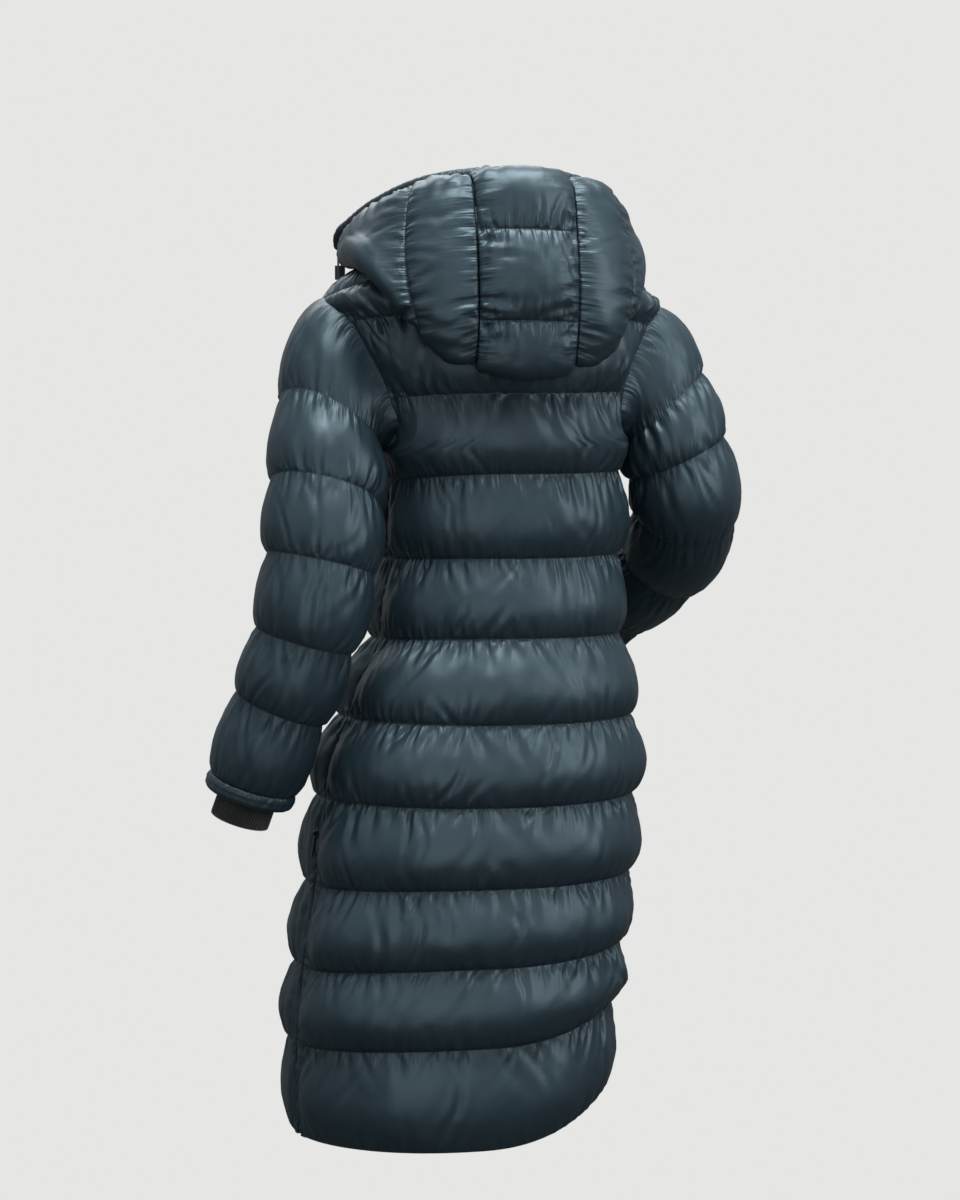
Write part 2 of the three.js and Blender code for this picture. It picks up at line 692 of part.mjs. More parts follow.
function bump(value) {
  return Math.max(Math.sin(Math.PI * Math.min(Math.max(value, 0), 1)), 0) ** 0.6;
}

function buildHood() {
  const crossSeams = [0, 2, 4, UNDER_LEVEL, HOOD.length];
  const centrePuff = (level, across) => {
    const channel = crossSeams.findIndex((seam, i) => level < crossSeams[i + 1]);
    if (level >= UNDER_LEVEL) return 0;
    const share = (level - crossSeams[channel]) / (crossSeams[channel + 1] - crossSeams[channel]);
    return HOOD_PUFF * bump(share) * bump(across);
  };
  const sidePuff = (level, across) => {
    const isRear = across < HOOD_FLANK_SEAM;
    const share = isRear ? across / HOOD_FLANK_SEAM : (across - HOOD_FLANK_SEAM) / (1 - HOOD_FLANK_SEAM);
    return HOOD_PUFF * bump(share) * bump(level / UNDER_LEVEL);
  };
  const leftSeam = (line) => shareAtX(line, HOOD_CENTRE_HALF);
  const rightSeam = (line) => shareAtX(line, -HOOD_CENTRE_HALF);
  const leftOuter = (line) => shareAtX(line, HOOD_CENTRE_HALF + HOOD_SEAM_GAP);
  const rightOuter = (line) => shareAtX(line, -HOOD_CENTRE_HALF - HOOD_SEAM_GAP);
  hoodPanel('hood_center', HOOD_CENTRE_COLUMNS, rightSeam, leftSeam, centrePuff);
  const { back_panel: back, front_left: frontLeft, front_right: frontRight } = BODY_PANELS;
  const mirrored = (level, across) => sidePuff(level, 1 - across);
  hoodPanel('hood_side_left', HOOD_SIDE_COLUMNS, leftOuter, () => 1, sidePuff, [back, frontLeft]);
  hoodPanel('hood_side_right', HOOD_SIDE_COLUMNS, () => 0, rightOuter, mirrored, [back, frontRight]);
}

// Hem band and rib cuff at the end of a sleeve: tubes that carry on along its last direction.
function buildCuff(side, table) {
  const label = side > 0 ? 'left' : 'right';
  const last = table.length - 1;
  const middle = new THREE.Vector3(table[last].x, table[last].y, table[last].z);
  const before = new THREE.Vector3(table[last - 1].x, table[last - 1].y, table[last - 1].z);
  const down = middle.clone().sub(before).normalize();
  const ring = (travel, radiusChange) => {
    const row = [];
    for (let c = 0; c < CUFF_COLUMNS; c += 1) {
      const angle = 2 * Math.PI * c / CUFF_COLUMNS;
      const point = sleeveInside(table, side, last, angle);
      const away = point.clone().sub(middle).normalize();
      row.push(point.addScaledVector(away, radiusChange).addScaledVector(down, travel));
    }
    return row;
  };
  const start = SEAM_GAP;
  const bandOuter = [
    ring(start, WALL),
    ring(start + BAND_LENGTH * 0.35, WALL + BAND_PUFF),
    ring(start + BAND_LENGTH * 0.75, WALL + BAND_PUFF * 0.8),
    ring(start + BAND_LENGTH, WALL * 0.7),
  ];
  const bandInner = [ring(start, 0), ring(start + BAND_LENGTH, 0)];
  addPiece(`cuff_band_${label}`, wall(bandOuter, bandInner, { isTube: true }), 'shell');
  const ribRing = (travel, lift) => {
    const share = THREE.MathUtils.clamp((travel + RIB_HIDDEN) / RIB_HIDDEN, 0, 1);
    return ring(travel, lift - SEAM_GAP - RIB_WALL - RIB_DROP * share);
  };
  const ribStops = [-RIB_HIDDEN, -RIB_HIDDEN / 2, 0, RIB_SHOWN / 2 + BAND_LENGTH, RIB_SHOWN + BAND_LENGTH];
  const ribOuter = ribStops.map((stop) => ribRing(stop, RIB_WALL));
  const ribInner = ribStops.map((stop) => ribRing(stop, 0));
  addPiece(`rib_cuff_${label}`, wall(ribOuter, ribInner, { isTube: true }), 'rib');
}

// Strip that lies at a set depth in the cloth between two angles, over a run of levels.
function levelStrip(levels, startAngle, endAngle, low, high) {
  const line = (level, lift) => [startAngle, endAngle].map((edge) => bodyPoint(level, edge(level), lift));
  const outer = levels.map((level) => line(level, high));
  const inner = levels.map((level) => line(level, low));
  return wall(outer, inner);
}

// The front zip's two tapes fill the gap between the front panels, up to the collar.
function buildZip() {
  const levels = bodyLevels().filter((level) => level > ZIP_BOTTOM);
  const outerEdge = ZIP_HALF_GAP - TAPE_GAP;
  const innerEdge = SEAM_GAP / 2;
  const highest = TAPE_LIFT + TAPE_THICKNESS;
  const left = [(level) => zipAngle(level, 1, innerEdge), (level) => zipAngle(level, 1, outerEdge)];
  const right = [(level) => zipAngle(level, -1, outerEdge), (level) => zipAngle(level, -1, innerEdge)];
  addPiece('zip_tape_left', levelStrip(levels, ...left, TAPE_LIFT, highest), 'tape');
  addPiece('zip_tape_right', levelStrip(levels, ...right, TAPE_LIFT, highest), 'tape');
}

// Each vent has a tape on the back's edge and one on the front's edge, with the slit between.
function buildVents() {
  const levels = bodyLevels().filter((level) => level < VENT_TOP - 0.4);
  for (const side of [1, -1]) {
    const label = side > 0 ? 'left' : 'right';
    for (const face of [1, -1]) {
      const name = `vent_tape_${face > 0 ? 'back' : 'front'}_${label}`;
      const shift = face > 0 || side < 0 ? 0 : 2 * Math.PI;
      const near = (level, distance) => {
        const edge = edgeAngle(level, side, face) + shift;
        return edge - side * face * distance / arcSpeed(level, edge);
      };
      const width = VENT_HALF_GAP - SEAM_GAP;
      const outerEdge = (level) => near(level, TAPE_GAP);
      const slitEdge = (level) => near(level, width);
      const ordered = side * face > 0 ? [slitEdge, outerEdge] : [outerEdge, slitEdge];
      addPiece(name, levelStrip(levels, ...ordered, TAPE_LIFT, TAPE_LIFT + TAPE_THICKNESS), 'tape');
    }
  }
}

// Slider with a lug on its face, and the pull tab whose top bar runs through the lug.
function buildSlider(name, pullName, place, outward) {
  const turn = new THREE.Quaternion().setFromUnitVectors(new THREE.Vector3(0, -1, 0), outward);
  const axleOut = SLIDER.depth + LUG.rise;
  const body = new THREE.BoxGeometry(SLIDER.width, SLIDER.depth, SLIDER.length);
  body.translate(0, -SLIDER.depth / 2, 0);
  const ring = new THREE.Shape();
  ring.absarc(0, 0, LUG.outer, 0, 2 * Math.PI, false);
  const eye = new THREE.Path();
  eye.absarc(0, 0, LUG.hole, 0, 2 * Math.PI, false);
  ring.holes.push(eye);
  const lug = new THREE.ExtrudeGeometry(ring, { ...FLAT_ENDS, depth: LUG.thickness });
  lug.translate(0, 0, -LUG.thickness / 2);
  lug.rotateY(Math.PI / 2);
  lug.translate(0, -axleOut, 0);
  const slider = addPiece(name, geometryOf(solidOf(body).add(solidOf(lug))), 'metal');
  slider.quaternion.copy(turn);
  slider.position.copy(place);
  const half = PULL.width / 2;
  const bar = PULL.thickness / 2;
  const outline = new THREE.Shape();
  outline.moveTo(-half, bar);
  outline.lineTo(half, bar);
  outline.absarc(0, half - PULL.length, half, 0, -Math.PI, true);
  const slot = new THREE.Path();
  slot.moveTo(-PULL.slotWidth / 2, -bar);
  slot.lineTo(-PULL.slotWidth / 2, -bar - PULL.slotLength);
  slot.lineTo(PULL.slotWidth / 2, -bar - PULL.slotLength);
  slot.lineTo(PULL.slotWidth / 2, -bar);
  outline.holes.push(slot);
  const tab = new THREE.ExtrudeGeometry(outline, { ...FLAT_ENDS, depth: PULL.thickness });
  tab.translate(0, 0, -PULL.thickness / 2);
  tab.rotateX(Math.PI / 2);
  const pull = addPiece(pullName, tab, 'metal');
  pull.quaternion.copy(turn);
  pull.position.copy(place).addScaledVector(outward, axleOut);
}

function onFrontZip(level) {
  const angle = 1.5 * Math.PI;
  const lift = TAPE_LIFT + TAPE_THICKNESS + SLIDER_SEAT;
  return { place: bodyPoint(level, angle, lift), outward: bodyNormal(level, angle) };
}

function onVent(level, side) {
  const angle = (edgeAngle(level, side, 1) + edgeAngle(level, side, -1)) / 2;
  const lift = TAPE_LIFT + TAPE_THICKNESS + SLIDER_SEAT;
  return { place: bodyPoint(level, angle, lift), outward: bodyNormal(level, angle) };
}

function buildSliders() {
  const front = onFrontZip(FRONT_SLIDER_LEVEL);
  buildSlider('zip_slider', 'zip_pull', front.place, front.outward);
  for (const side of [1, -1]) {
    const label = side > 0 ? 'left' : 'right';
    const vent = onVent(VENT_SLIDER_LEVEL, side);
    buildSlider(`vent_slider_${label}`, `vent_pull_${label}`, vent.place, vent.outward);
  }
}

// Padded stand collar on the neck ring, from the left of the zip round the back to its right.
function buildCollar() {
  const from = zipAngle(TOP_LEVEL, 1, ZIP_HALF_GAP) - 2 * Math.PI;
  const to = zipAngle(TOP_LEVEL, -1, ZIP_HALF_GAP);
  const base = COLLAR_ROWS.map((height) => {
    const row = [];
    for (let c = 0; c <= COLLAR_COLUMNS; c += 1) {
      const angle = THREE.MathUtils.lerp(from, to, c / COLLAR_COLUMNS);
      const foot = bodyInside(TOP_LEVEL, angle);
      const below = bodyInside(TOP_LEVEL - 0.05, angle);
      foot.addScaledVector(foot.clone().sub(below).normalize(), COLLAR_GAP);
      const toFront = Math.abs(angle - Math.PI / 2) / Math.PI;
      const narrowed = 1 - degrees(COLLAR.part) * toFront ** 3 / Math.PI;
      const parted = Math.PI / 2 + (angle - Math.PI / 2) * narrowed;
      const cosine = Math.cos(parted);
      const sine = Math.sin(parted);
      const depth = sine > 0 ? COLLAR.back : COLLAR.front;
      const faceZ = sine > 0 ? COLLAR.backZ : COLLAR.foreZ;
      const head = new THREE.Vector3(
        spread(cosine) * COLLAR.wide,
        spread(sine) * depth,
        COLLAR.sideZ * cosine * cosine + faceZ * sine * sine,
      );
      row.push(foot.lerp(head, height));
    }
    return row;
  });
  const normals = openNormals(base);
  normals[0] = normals[0].map((_, c) => {
    const angle = THREE.MathUtils.lerp(from, to, c / COLLAR_COLUMNS);
    return bodyNormal(TOP_LEVEL, angle);
  });
  const outer = base.map((row, r) => row.map((point, c) => {
    const across = bump(c / COLLAR_COLUMNS);
    const lift = COLLAR_WALL + COLLAR_PUFF * bump(COLLAR_ROWS[r]) * across;
    return point.clone().addScaledVector(normals[r][c], lift);
  }));
  addPiece('collar', wall(outer, base), 'hood');
}

// Closed rod through a row of rings.
function rod(rings) {
  const positions = [];
  const triangles = [];
  const add = (point) => {
    positions.push(point.x, point.y, point.z);
    return positions.length / 3 - 1;
  };
  const numbers = rings.map((ring) => ring.map(add));
  const count = rings[0].length;
  for (let r = 0; r < rings.length - 1; r += 1) {
    for (let c = 0; c < count; c += 1) {
      const next = (c + 1) % count;
      const quad = [numbers[r][c], numbers[r][next], numbers[r + 1][next], numbers[r + 1][c]];
      triangles.push(quad[0], quad[1], quad[2], quad[0], quad[2], quad[3]);
    }
  }
  const first = numbers[0];
  const last = numbers[numbers.length - 1];
  for (let c = 1; c < count - 1; c += 1) {
    triangles.push(first[0], first[c + 1], first[c]);
    triangles.push(last[0], last[c], last[c + 1]);
  }
  const geometry = new THREE.BufferGeometry();
  geometry.setAttribute('position', new THREE.Float32BufferAttribute(positions, 3));
  geometry.setIndex(signedVolume(positions, triangles) < 0 ? flipped(triangles) : triangles);
  return geometry;
}

// Middle of the rim at a share of its run, with its two section directions.
function rimFrame(share) {
  const edge = hoodLine(0).getPoint(share);
  const behind = hoodLine(0.4).getPoint(share);
  const along = hoodLine(0).getTangent(share);
  const forward = edge.clone().sub(behind).normalize();
  forward.addScaledVector(along, -forward.dot(along)).normalize();
  const upward = forward.clone().cross(along).normalize();
  if (upward.z < 0) upward.negate();
  const middle = edge.clone()
    .addScaledVector(forward, RIM_DEEP + RIM_GAP)
    .addScaledVector(upward, HOOD_WALL / 2);
  return { middle, forward, upward };
}

function rimRing({ middle, forward, upward }, scale) {
  return Array.from({ length: RIM_SIDES }, (_, s) => {
    const turn = 2 * Math.PI * (s + 0.5) / RIM_SIDES;
    return middle.clone()
      .addScaledVector(forward, scale * RIM_DEEP * Math.cos(turn) / Math.cos(Math.PI / RIM_SIDES))
      .addScaledVector(upward, scale * RIM_TALL * Math.sin(turn));
  });
}

// Frame past one end of the rim, where its tip reaches forward and drops.
function tipFrame(side, reach, drop) {
  const frame = rimFrame(side > 0 ? 1 : 0);
  const away = hoodLine(0).getTangent(side > 0 ? 1 : 0).multiplyScalar(side);
  frame.middle.addScaledVector(away, reach).add(new THREE.Vector3(0, 0, -drop));
  return frame;
}

function buildRim() {
  const shares = Array.from({ length: RIM_STEPS + 1 }, (_, i) => i / RIM_STEPS);
  const rings = shares.map((share) => rimRing(rimFrame(share), 1));
  for (const { reach, drop, scale } of RIM_TIP) {
    rings.push(rimRing(tipFrame(1, reach, drop), scale));
    rings.unshift(rimRing(tipFrame(-1, reach, drop), scale));
  }
  addPiece('hood_rim', rod(rings), 'hood');
}

// Cord lock with an oblong hole, and the elastic loop that runs down through it and back.
function buildCord(side) {
  const label = side > 0 ? 'left' : 'right';
  const { middle: exit, forward } = tipFrame(side, CORD_REACH, RIM_TIP[1].drop);
  exit.addScaledVector(forward, -RIM_DEEP);
  const outline = new THREE.Shape();
  const w = LOCK.width / 2;
  const d = LOCK.depth / 2;
  outline.moveTo(w - d, -d);
  outline.absarc(w - d, 0, d, -Math.PI / 2, Math.PI / 2, false);
  outline.lineTo(-w + d, d);
  outline.absarc(-w + d, 0, d, Math.PI / 2, 1.5 * Math.PI, false);
  const hole = new THREE.Path();
  const r = LOCK.hole / 2;
  hole.absarc(LOCK.halfGap, 0, r, -Math.PI / 2, Math.PI / 2, false);
  hole.lineTo(-LOCK.halfGap, r);
  hole.absarc(-LOCK.halfGap, 0, r, Math.PI / 2, 1.5 * Math.PI, false);
  outline.holes.push(hole);
  const lock = new THREE.ExtrudeGeometry(outline, { ...FLAT_ENDS, depth: LOCK.height });
  lock.translate(0, 0, -LOCK.height / 2);
  const lockPiece = addPiece(`cord_lock_${label}`, lock, 'plastic');
  lockPiece.position.copy(exit).add(new THREE.Vector3(0, 0, -LOCK.drop));
  const goingUp = CORD_HALF_ROUTE.map(({ x, z }) => ({ x: -x, z })).reverse();
  const route = [...CORD_HALF_ROUTE, CORD_BOTTOM, ...goingUp]
    .map(({ x, z }) => exit.clone().add(new THREE.Vector3(x, 0, z)));
  const acrossCord = new THREE.Vector3(0, 1, 0);
  const rings = route.map((point, i) => {
    const next = route[Math.min(i + 1, route.length - 1)];
    const previous = route[Math.max(i - 1, 0)];
    const sideways = next.clone().sub(previous).normalize().cross(acrossCord);
    return Array.from({ length: CORD_SIDES }, (_, s) => {
      const turn = 2 * Math.PI * s / CORD_SIDES;
      return point.clone()
        .addScaledVector(acrossCord, CORD_DIAMETER / 2 * Math.sin(turn))
        .addScaledVector(sideways, CORD_DIAMETER / 2 * Math.cos(turn));
    });
  });
  addPiece(`drawcord_${label}`, rod(rings), 'plastic');
}

buildBody();
buildSleeve('sleeve_left', LEFT_SLEEVE, 1);
buildSleeve('sleeve_right', RIGHT_SLEEVE, -1);
buildCuff(1, LEFT_SLEEVE);
buildCuff(-1, RIGHT_SLEEVE);
buildHood();
buildCollar();
buildRim();
buildCord(1);
buildCord(-1);
buildZip();
buildVents();
buildSliders();

export default coat;
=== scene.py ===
"""Looks of a long hooded puffer coat, worn: padded panels with gathers, rib cuffs, zips and drawcords.

The shapes repeat the part's own tables in millimetres; meshes are made in metres.
"""
import math

import bpy
import numpy as np
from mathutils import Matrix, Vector


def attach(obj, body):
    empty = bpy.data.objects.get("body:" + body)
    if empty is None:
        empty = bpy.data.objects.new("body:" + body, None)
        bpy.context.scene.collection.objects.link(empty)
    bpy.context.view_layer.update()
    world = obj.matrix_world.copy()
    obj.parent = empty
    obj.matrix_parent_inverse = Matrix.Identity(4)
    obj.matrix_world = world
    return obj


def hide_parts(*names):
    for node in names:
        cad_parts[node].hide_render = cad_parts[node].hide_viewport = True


MM = 0.001
COAT = "coat"

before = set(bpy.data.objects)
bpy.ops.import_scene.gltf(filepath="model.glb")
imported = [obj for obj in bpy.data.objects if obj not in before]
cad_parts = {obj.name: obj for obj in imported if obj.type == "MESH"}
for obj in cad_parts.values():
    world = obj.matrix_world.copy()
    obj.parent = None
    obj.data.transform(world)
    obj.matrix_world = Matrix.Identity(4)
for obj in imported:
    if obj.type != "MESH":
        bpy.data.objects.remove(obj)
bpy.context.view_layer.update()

# The camera stands where the photograph's did.
CAMERA_AZIMUTH = math.radians(165)
CAMERA_ELEVATION = math.radians(2)
CAMERA_DISTANCE = 3.5
CAMERA_SHIFT = (-0.00854, -0.44896)
CAMERA_HALF_HEIGHT = 0.2091


def camera_axes():
    away = Vector((
        math.sin(CAMERA_AZIMUTH) * math.cos(CAMERA_ELEVATION),
        -math.cos(CAMERA_AZIMUTH) * math.cos(CAMERA_ELEVATION),
        math.sin(CAMERA_ELEVATION),
    ))
    right = Vector((math.cos(CAMERA_AZIMUTH), math.sin(CAMERA_AZIMUTH), 0))
    return away, right


def add_camera():
    away, right = camera_axes()
    data = bpy.data.cameras.new("camera")
    data.sensor_fit = "VERTICAL"
    data.angle = 2 * math.atan(CAMERA_HALF_HEIGHT)
    data.clip_end = 60
    camera = bpy.data.objects.new("camera", data)
    bpy.context.collection.objects.link(camera)
    target = right * CAMERA_SHIFT[0] + Vector((0, 0, CAMERA_SHIFT[1]))
    camera.location = target + away * CAMERA_DISTANCE
    camera.rotation_euler = away.to_track_quat("Z", "Y").to_euler()
    bpy.context.scene.camera = camera


add_camera()


def table(names, rows):
    """Rows of numbers under short column names."""
    return dict(zip(names.split(), np.array(rows, float).T))


# One row for each stitch line from the hem up, then the shoulder ring and the neck ring
BODY = table("wide back front x left rear right fore puff", [
    (186, 140, 142, 50, -1086, -1092, -1030, -1082, 15),
    (192, 146, 146, 47, -976, -970, -926, -968, 17),
    (193, 148, 146, 38, -886, -876, -859, -872, 17),
    (192, 148, 145, 25, -788, -783, -776, -780, 17),
    (188, 146, 142, 16, -684, -688, -681, -684, 17),
    (174, 138, 136, 3, -588, -592, -586, -588, 17),
    (146, 122, 124, -10, -494, -491, -488, -494, 16),
    (139, 116, 122, -15, -397, -396, -390, -398, 16),
    (141, 124, 130, -14, -303, -296, -290, -302, 17),
    (168, 128, 128, -4, -208, -202, -192, -210, 16),
    (203, 120, 112, 0, -118, -108, -116, -124, 13),
    (200, 102, 88, 0, -88, -46, -88, -66, 9),
    (84, 80, 72, 0, -12, 0, -12, -34, 0),
])
TOP_LEVEL = 12
SLEEVE_COLUMNS = "x y z wide deep slant puff"
LEFT_SLEEVE = table(SLEEVE_COLUMNS, [
    (203, 34, -236, 56, 62, 27, 9),
    (214, 62, -318, 61, 60, 11, 9),
    (223, 76, -401, 60, 58, 4, 9),
    (242, 72, -491, 54, 55, 0, 9),
    (268, 55, -571, 50, 51, 2, 9),
    (297, 37, -661, 47, 47, -2, 0),
])
RIGHT_SLEEVE = table(SLEEVE_COLUMNS, [
    (-217, 18, -214, 56, 60, 27, 9),
    (-234, 26, -274, 58, 60, 12, 9),
    (-252, 12, -346, 55, 57, 0, 9),
    (-250, -72, -402, 50, 52, 0, 9),
    (-211, -150, -452, 48, 49, 0, 9),
    (-172, -212, -494, 46, 46, 0, 0),
])
HOOD = table("backY backZ flankX flankY flankZ capX capY capZ endX endY endZ", [
    (138, 50, 96, 104, 42, 142, 20, 20, 158, -88, -4),
    (172, 38, 114, 122, 30, 157, 38, 4, 162, -82, -16),
    (187, -16, 126, 134, -18, 164, 58, -20, 164, -76, -29),
    (193, -68, 129, 147, -64, 169, 82, -36, 163, -70, -34),
    (191, -120, 121, 158, -110, 166, 100, -50, 157, -64, -33),
    (176, -172, 99, 158, -148, 150, 104, -38, 143, -62, -20),
    (164, -150, 86, 150, -120, 130, 90, -14, 126, -60, -6),
    (140, -60, 80, 122, -44, 115, 56, 6, 112, -58, 0),
    (107, 17, 73, 87, 18, 104, 22, 17, 103, -54, 4),
])
HOOD_LAST = 8

WALL = 4
SECTION_POWER = 0.87
FULLEST = 1.36
PUFF_SHAPE = 0.72
EDGE_RISE = 34
SIDE_GAP = 0.5
SEAM_GAP = 0.4
SIDE_SEAM_ANGLE = math.radians(8)
VENT_TOP = 4
VENT_HALF_GAP = 6
ZIP_HALF_GAP = 7
ZIP_BOTTOM = 0.7
ARMPIT_LEVEL = 8.38
SHOULDER_LEVEL = 11
ARMHOLE_ANGLE = math.radians(29)
ARMHOLE_CLEARANCE = 1.2
ARMPIT_REACH = 75
HEAD_LEAVE = 60
HEAD_PUFF = 9
HEAD_FULLEST = 1.25
HEAD_SHAPE = 1.1
BODY_STEPS = (0, 0.17, 0.45, 0.78)
ARMHOLE_STEPS = (0, 0.14, 0.38, 0.64, 0.86)
ARMHOLE_CHANNEL = 8
RIGHT_DRAW = (12, 20, 16)
HOOD_WALL = 4
HOOD_CENTRE_HALF = 58
HOOD_PUFF = 13
HOOD_SEAM_GAP = 1.4
HOOD_FLANK_SEAM = 0.25
UNDER_LEVEL = 6

# How far a derivative reaches, in levels or radians
NEAR = 0.02
# Distance from a seam that stands for none nearby
FAR = 60.0
# Least thickness that a crease leaves
THINNEST = 0.6 * WALL
# The plain inside takes every few rows and columns of the outside
INNER_ROWS = 6
INNER_COLUMNS = 5


def sample(rows, key, level):
    """Smooth curve through one named column of a table."""
    values = rows[key]
    last = len(values) - 1
    level = np.asarray(level, float)
    start = np.clip(np.floor(level).astype(int), 0, last - 1)
    t = level - start
    p1 = values[start]
    p2 = values[start + 1]
    p0 = np.where(start > 0, values[np.maximum(start - 1, 0)], 2 * p1 - p2)
    p3 = np.where(start + 2 <= last, values[np.minimum(start + 2, last)], 2 * p2 - p1)
    return hermite(t, p1, (p2 - p0) / 2, p2, (p3 - p1) / 2)


def hermite(t, first, leave, second, arrive):
    return (
        (2 * t**3 - 3 * t**2 + 1) * first
        + (t**3 - 2 * t**2 + t) * leave
        + (3 * t**2 - 2 * t**3) * second
        + (t**3 - t**2) * arrive
    )


def stack(*parts):
    return np.stack(np.broadcast_arrays(*parts), -1)


def unit(vectors):
    return vectors / np.maximum(np.linalg.norm(vectors, axis=-1, keepdims=True), 1e-9)


def smoothstep(value, low, high):
    t = np.clip((value - low) / (high - low), 0, 1)
    return t * t * (3 - 2 * t)


def bump(value):
    return np.maximum(np.sin(np.pi * np.clip(value, 0, 1)), 0) ** 0.6


def spread(value):
    return np.sign(value) * np.abs(value) ** SECTION_POWER


def body_inside(level, angle):
    """Plain inside of the body; angle 0 is the wearer's left and 90 degrees the back."""
    c = np.cos(angle)
    s = np.sin(angle)
    depth = np.where(s > 0, sample(BODY, "back", level), sample(BODY, "front", level))
    side = np.where(c > 0, sample(BODY, "left", level), sample(BODY, "right", level))
    face = np.where(s > 0, sample(BODY, "rear", level), sample(BODY, "fore", level))
    across = sample(BODY, "x", level) + spread(c) * sample(BODY, "wide", level)
    return stack(across, spread(s) * depth, side * c * c + face * s * s)


def body_normal(level, angle):
    low = np.maximum(level - NEAR, 0)
    high = np.minimum(level + NEAR, TOP_LEVEL)
    along = body_inside(level, angle + NEAR) - body_inside(level, angle - NEAR)
    up = body_inside(high, angle) - body_inside(low, angle)
    return unit(np.cross(along, up))


def body_point(level, angle, lift):
    return body_inside(level, angle) + body_normal(level, angle) * np.asarray(lift)[..., None]


def arc_speed(level, angle):
    """Millimetres round the body for one radian."""
    span = body_inside(level, angle + NEAR) - body_inside(level, angle - NEAR)
    return np.linalg.norm(span, axis=-1) / (2 * NEAR)


def puff_profile(level):
    from_top = 1 - (level - np.floor(level))
    return np.maximum(np.sin(np.pi * from_top**FULLEST), 0) ** PUFF_SHAPE


# Size, waves round the body and shift from one channel to the next
SWELLS = ((0.09, 7, 1.9), (0.05, 13, 4.1))


def swell(level, angle):
    """Uneven filling round the body."""
    channel = np.floor(level)
    return 1 + sum(size * np.sin(angle * waves + channel * shift) for size, waves, shift in SWELLS)


UNDER_ARMPIT = 0.6


def edge_factor(distance, level):
    """Share of the padding beside an edge: rounder at the side seam, flatter at the armhole."""
    share = np.minimum(1, distance / EDGE_RISE)
    beside = smoothstep(level, ARMPIT_LEVEL - UNDER_ARMPIT, ARMPIT_LEVEL)
    return np.sqrt(share) * (1 - beside) + share * beside


VENT_OPENS_OVER = 0.35


def edge_angle(level, side, face):
    """Angle of the cloth's edge beside the side seam, the vent and the armhole."""
    level = np.asarray(level, float)
    share = np.clip((level - ARMPIT_LEVEL) / (SHOULDER_LEVEL - ARMPIT_LEVEL), 0, 1)
    in_armhole = (level > ARMPIT_LEVEL) & (level < SHOULDER_LEVEL)
    round_part = np.sqrt(np.maximum(1 - (2 * share**0.6 - 1) ** 2, 0))
    from_side = np.where(
        in_armhole,
        SIDE_SEAM_ANGLE * (1 - share) + face * ARMHOLE_ANGLE * round_part,
        np.where(level >= SHOULDER_LEVEL, 0, SIDE_SEAM_ANGLE),
    )
    middle = from_side if side > 0 else np.pi - from_side
    opening = smoothstep(VENT_TOP - level, 0, VENT_OPENS_OVER)
    half = np.where(in_armhole, 0, SIDE_GAP / 2 + opening * (VENT_HALF_GAP - SIDE_GAP / 2))
    return middle + side * face * half / arc_speed(level, middle)


def zip_angle(level, side, distance):
    reach = (distance / sample(BODY, "wide", level)) ** (1 / SECTION_POWER)
    return 1.5 * np.pi + side * np.arcsin(reach)


def armpit_factor(level, angle):
    result = np.ones(np.shape(angle))
    place = body_inside(level, angle)
    for side in (1, -1):
        seam = SIDE_SEAM_ANGLE if side > 0 else np.pi - SIDE_SEAM_ANGLE
        armpit = body_inside(np.array(ARMPIT_LEVEL), np.array(seam))
        distance = np.linalg.norm(place - armpit, axis=-1)
        result = np.minimum(result, smoothstep(distance, 0, ARMPIT_REACH))
    return result


# Creases: each set is the spacing, depth, reach and width of its folds in millimetres

FOLD_WIDTH = (1.8, 3.8)
UNDER_SEAM = ((8, 24), 5.4, (12, 46), FOLD_WIDTH)
OVER_SEAM = ((8, 24), 3.8, (8, 28), FOLD_WIDTH)
BESIDE_EDGE = ((6, 15), 3.4, (8, 24), (1.8, 3.4))
VENT_STRIP = ((5, 10), 3.0, (12, 20), (1.6, 2.8))
ARMHOLE_SEAM = ((8, 22), 1.8, (12, 42), FOLD_WIDTH)
UNDER_SLEEVE_SEAM = ((8, 22), 4.6, (12, 42), FOLD_WIDTH)
OVER_SLEEVE_SEAM = ((8, 22), 3.6, (9, 28), FOLD_WIDTH)
UNDER_HOOD_SEAM = ((8, 20), 4.4, (10, 36), FOLD_WIDTH)
OVER_HOOD_SEAM = ((8, 20), 3.8, (10, 30), FOLD_WIDTH)
ALONG_HOOD_SEAM = ((8, 22), 4.2, (10, 40), FOLD_WIDTH)
COLLAR_EDGE = ((8, 18), 1.6, (8, 20), (2, 4))
RIM_EDGE = ((6, 15), 1.6, (6, 16), (1.8, 3.6))
BAND_TOP = ((6, 14), 1.5, (7, 16), (1.6, 3.2))
BAND_HEM = ((6, 14), 1.2, (7, 14), (1.6, 3.2))
FINE_SPACING = (3.5, 9)
FINE_SHARE = 0.4
FINE_REACH = (4, 14)
FINE_WIDTH = (1.2, 2.1)
SLACK_LENGTH = (16, 40)
SLACK_WIDTH = (2.6, 6)


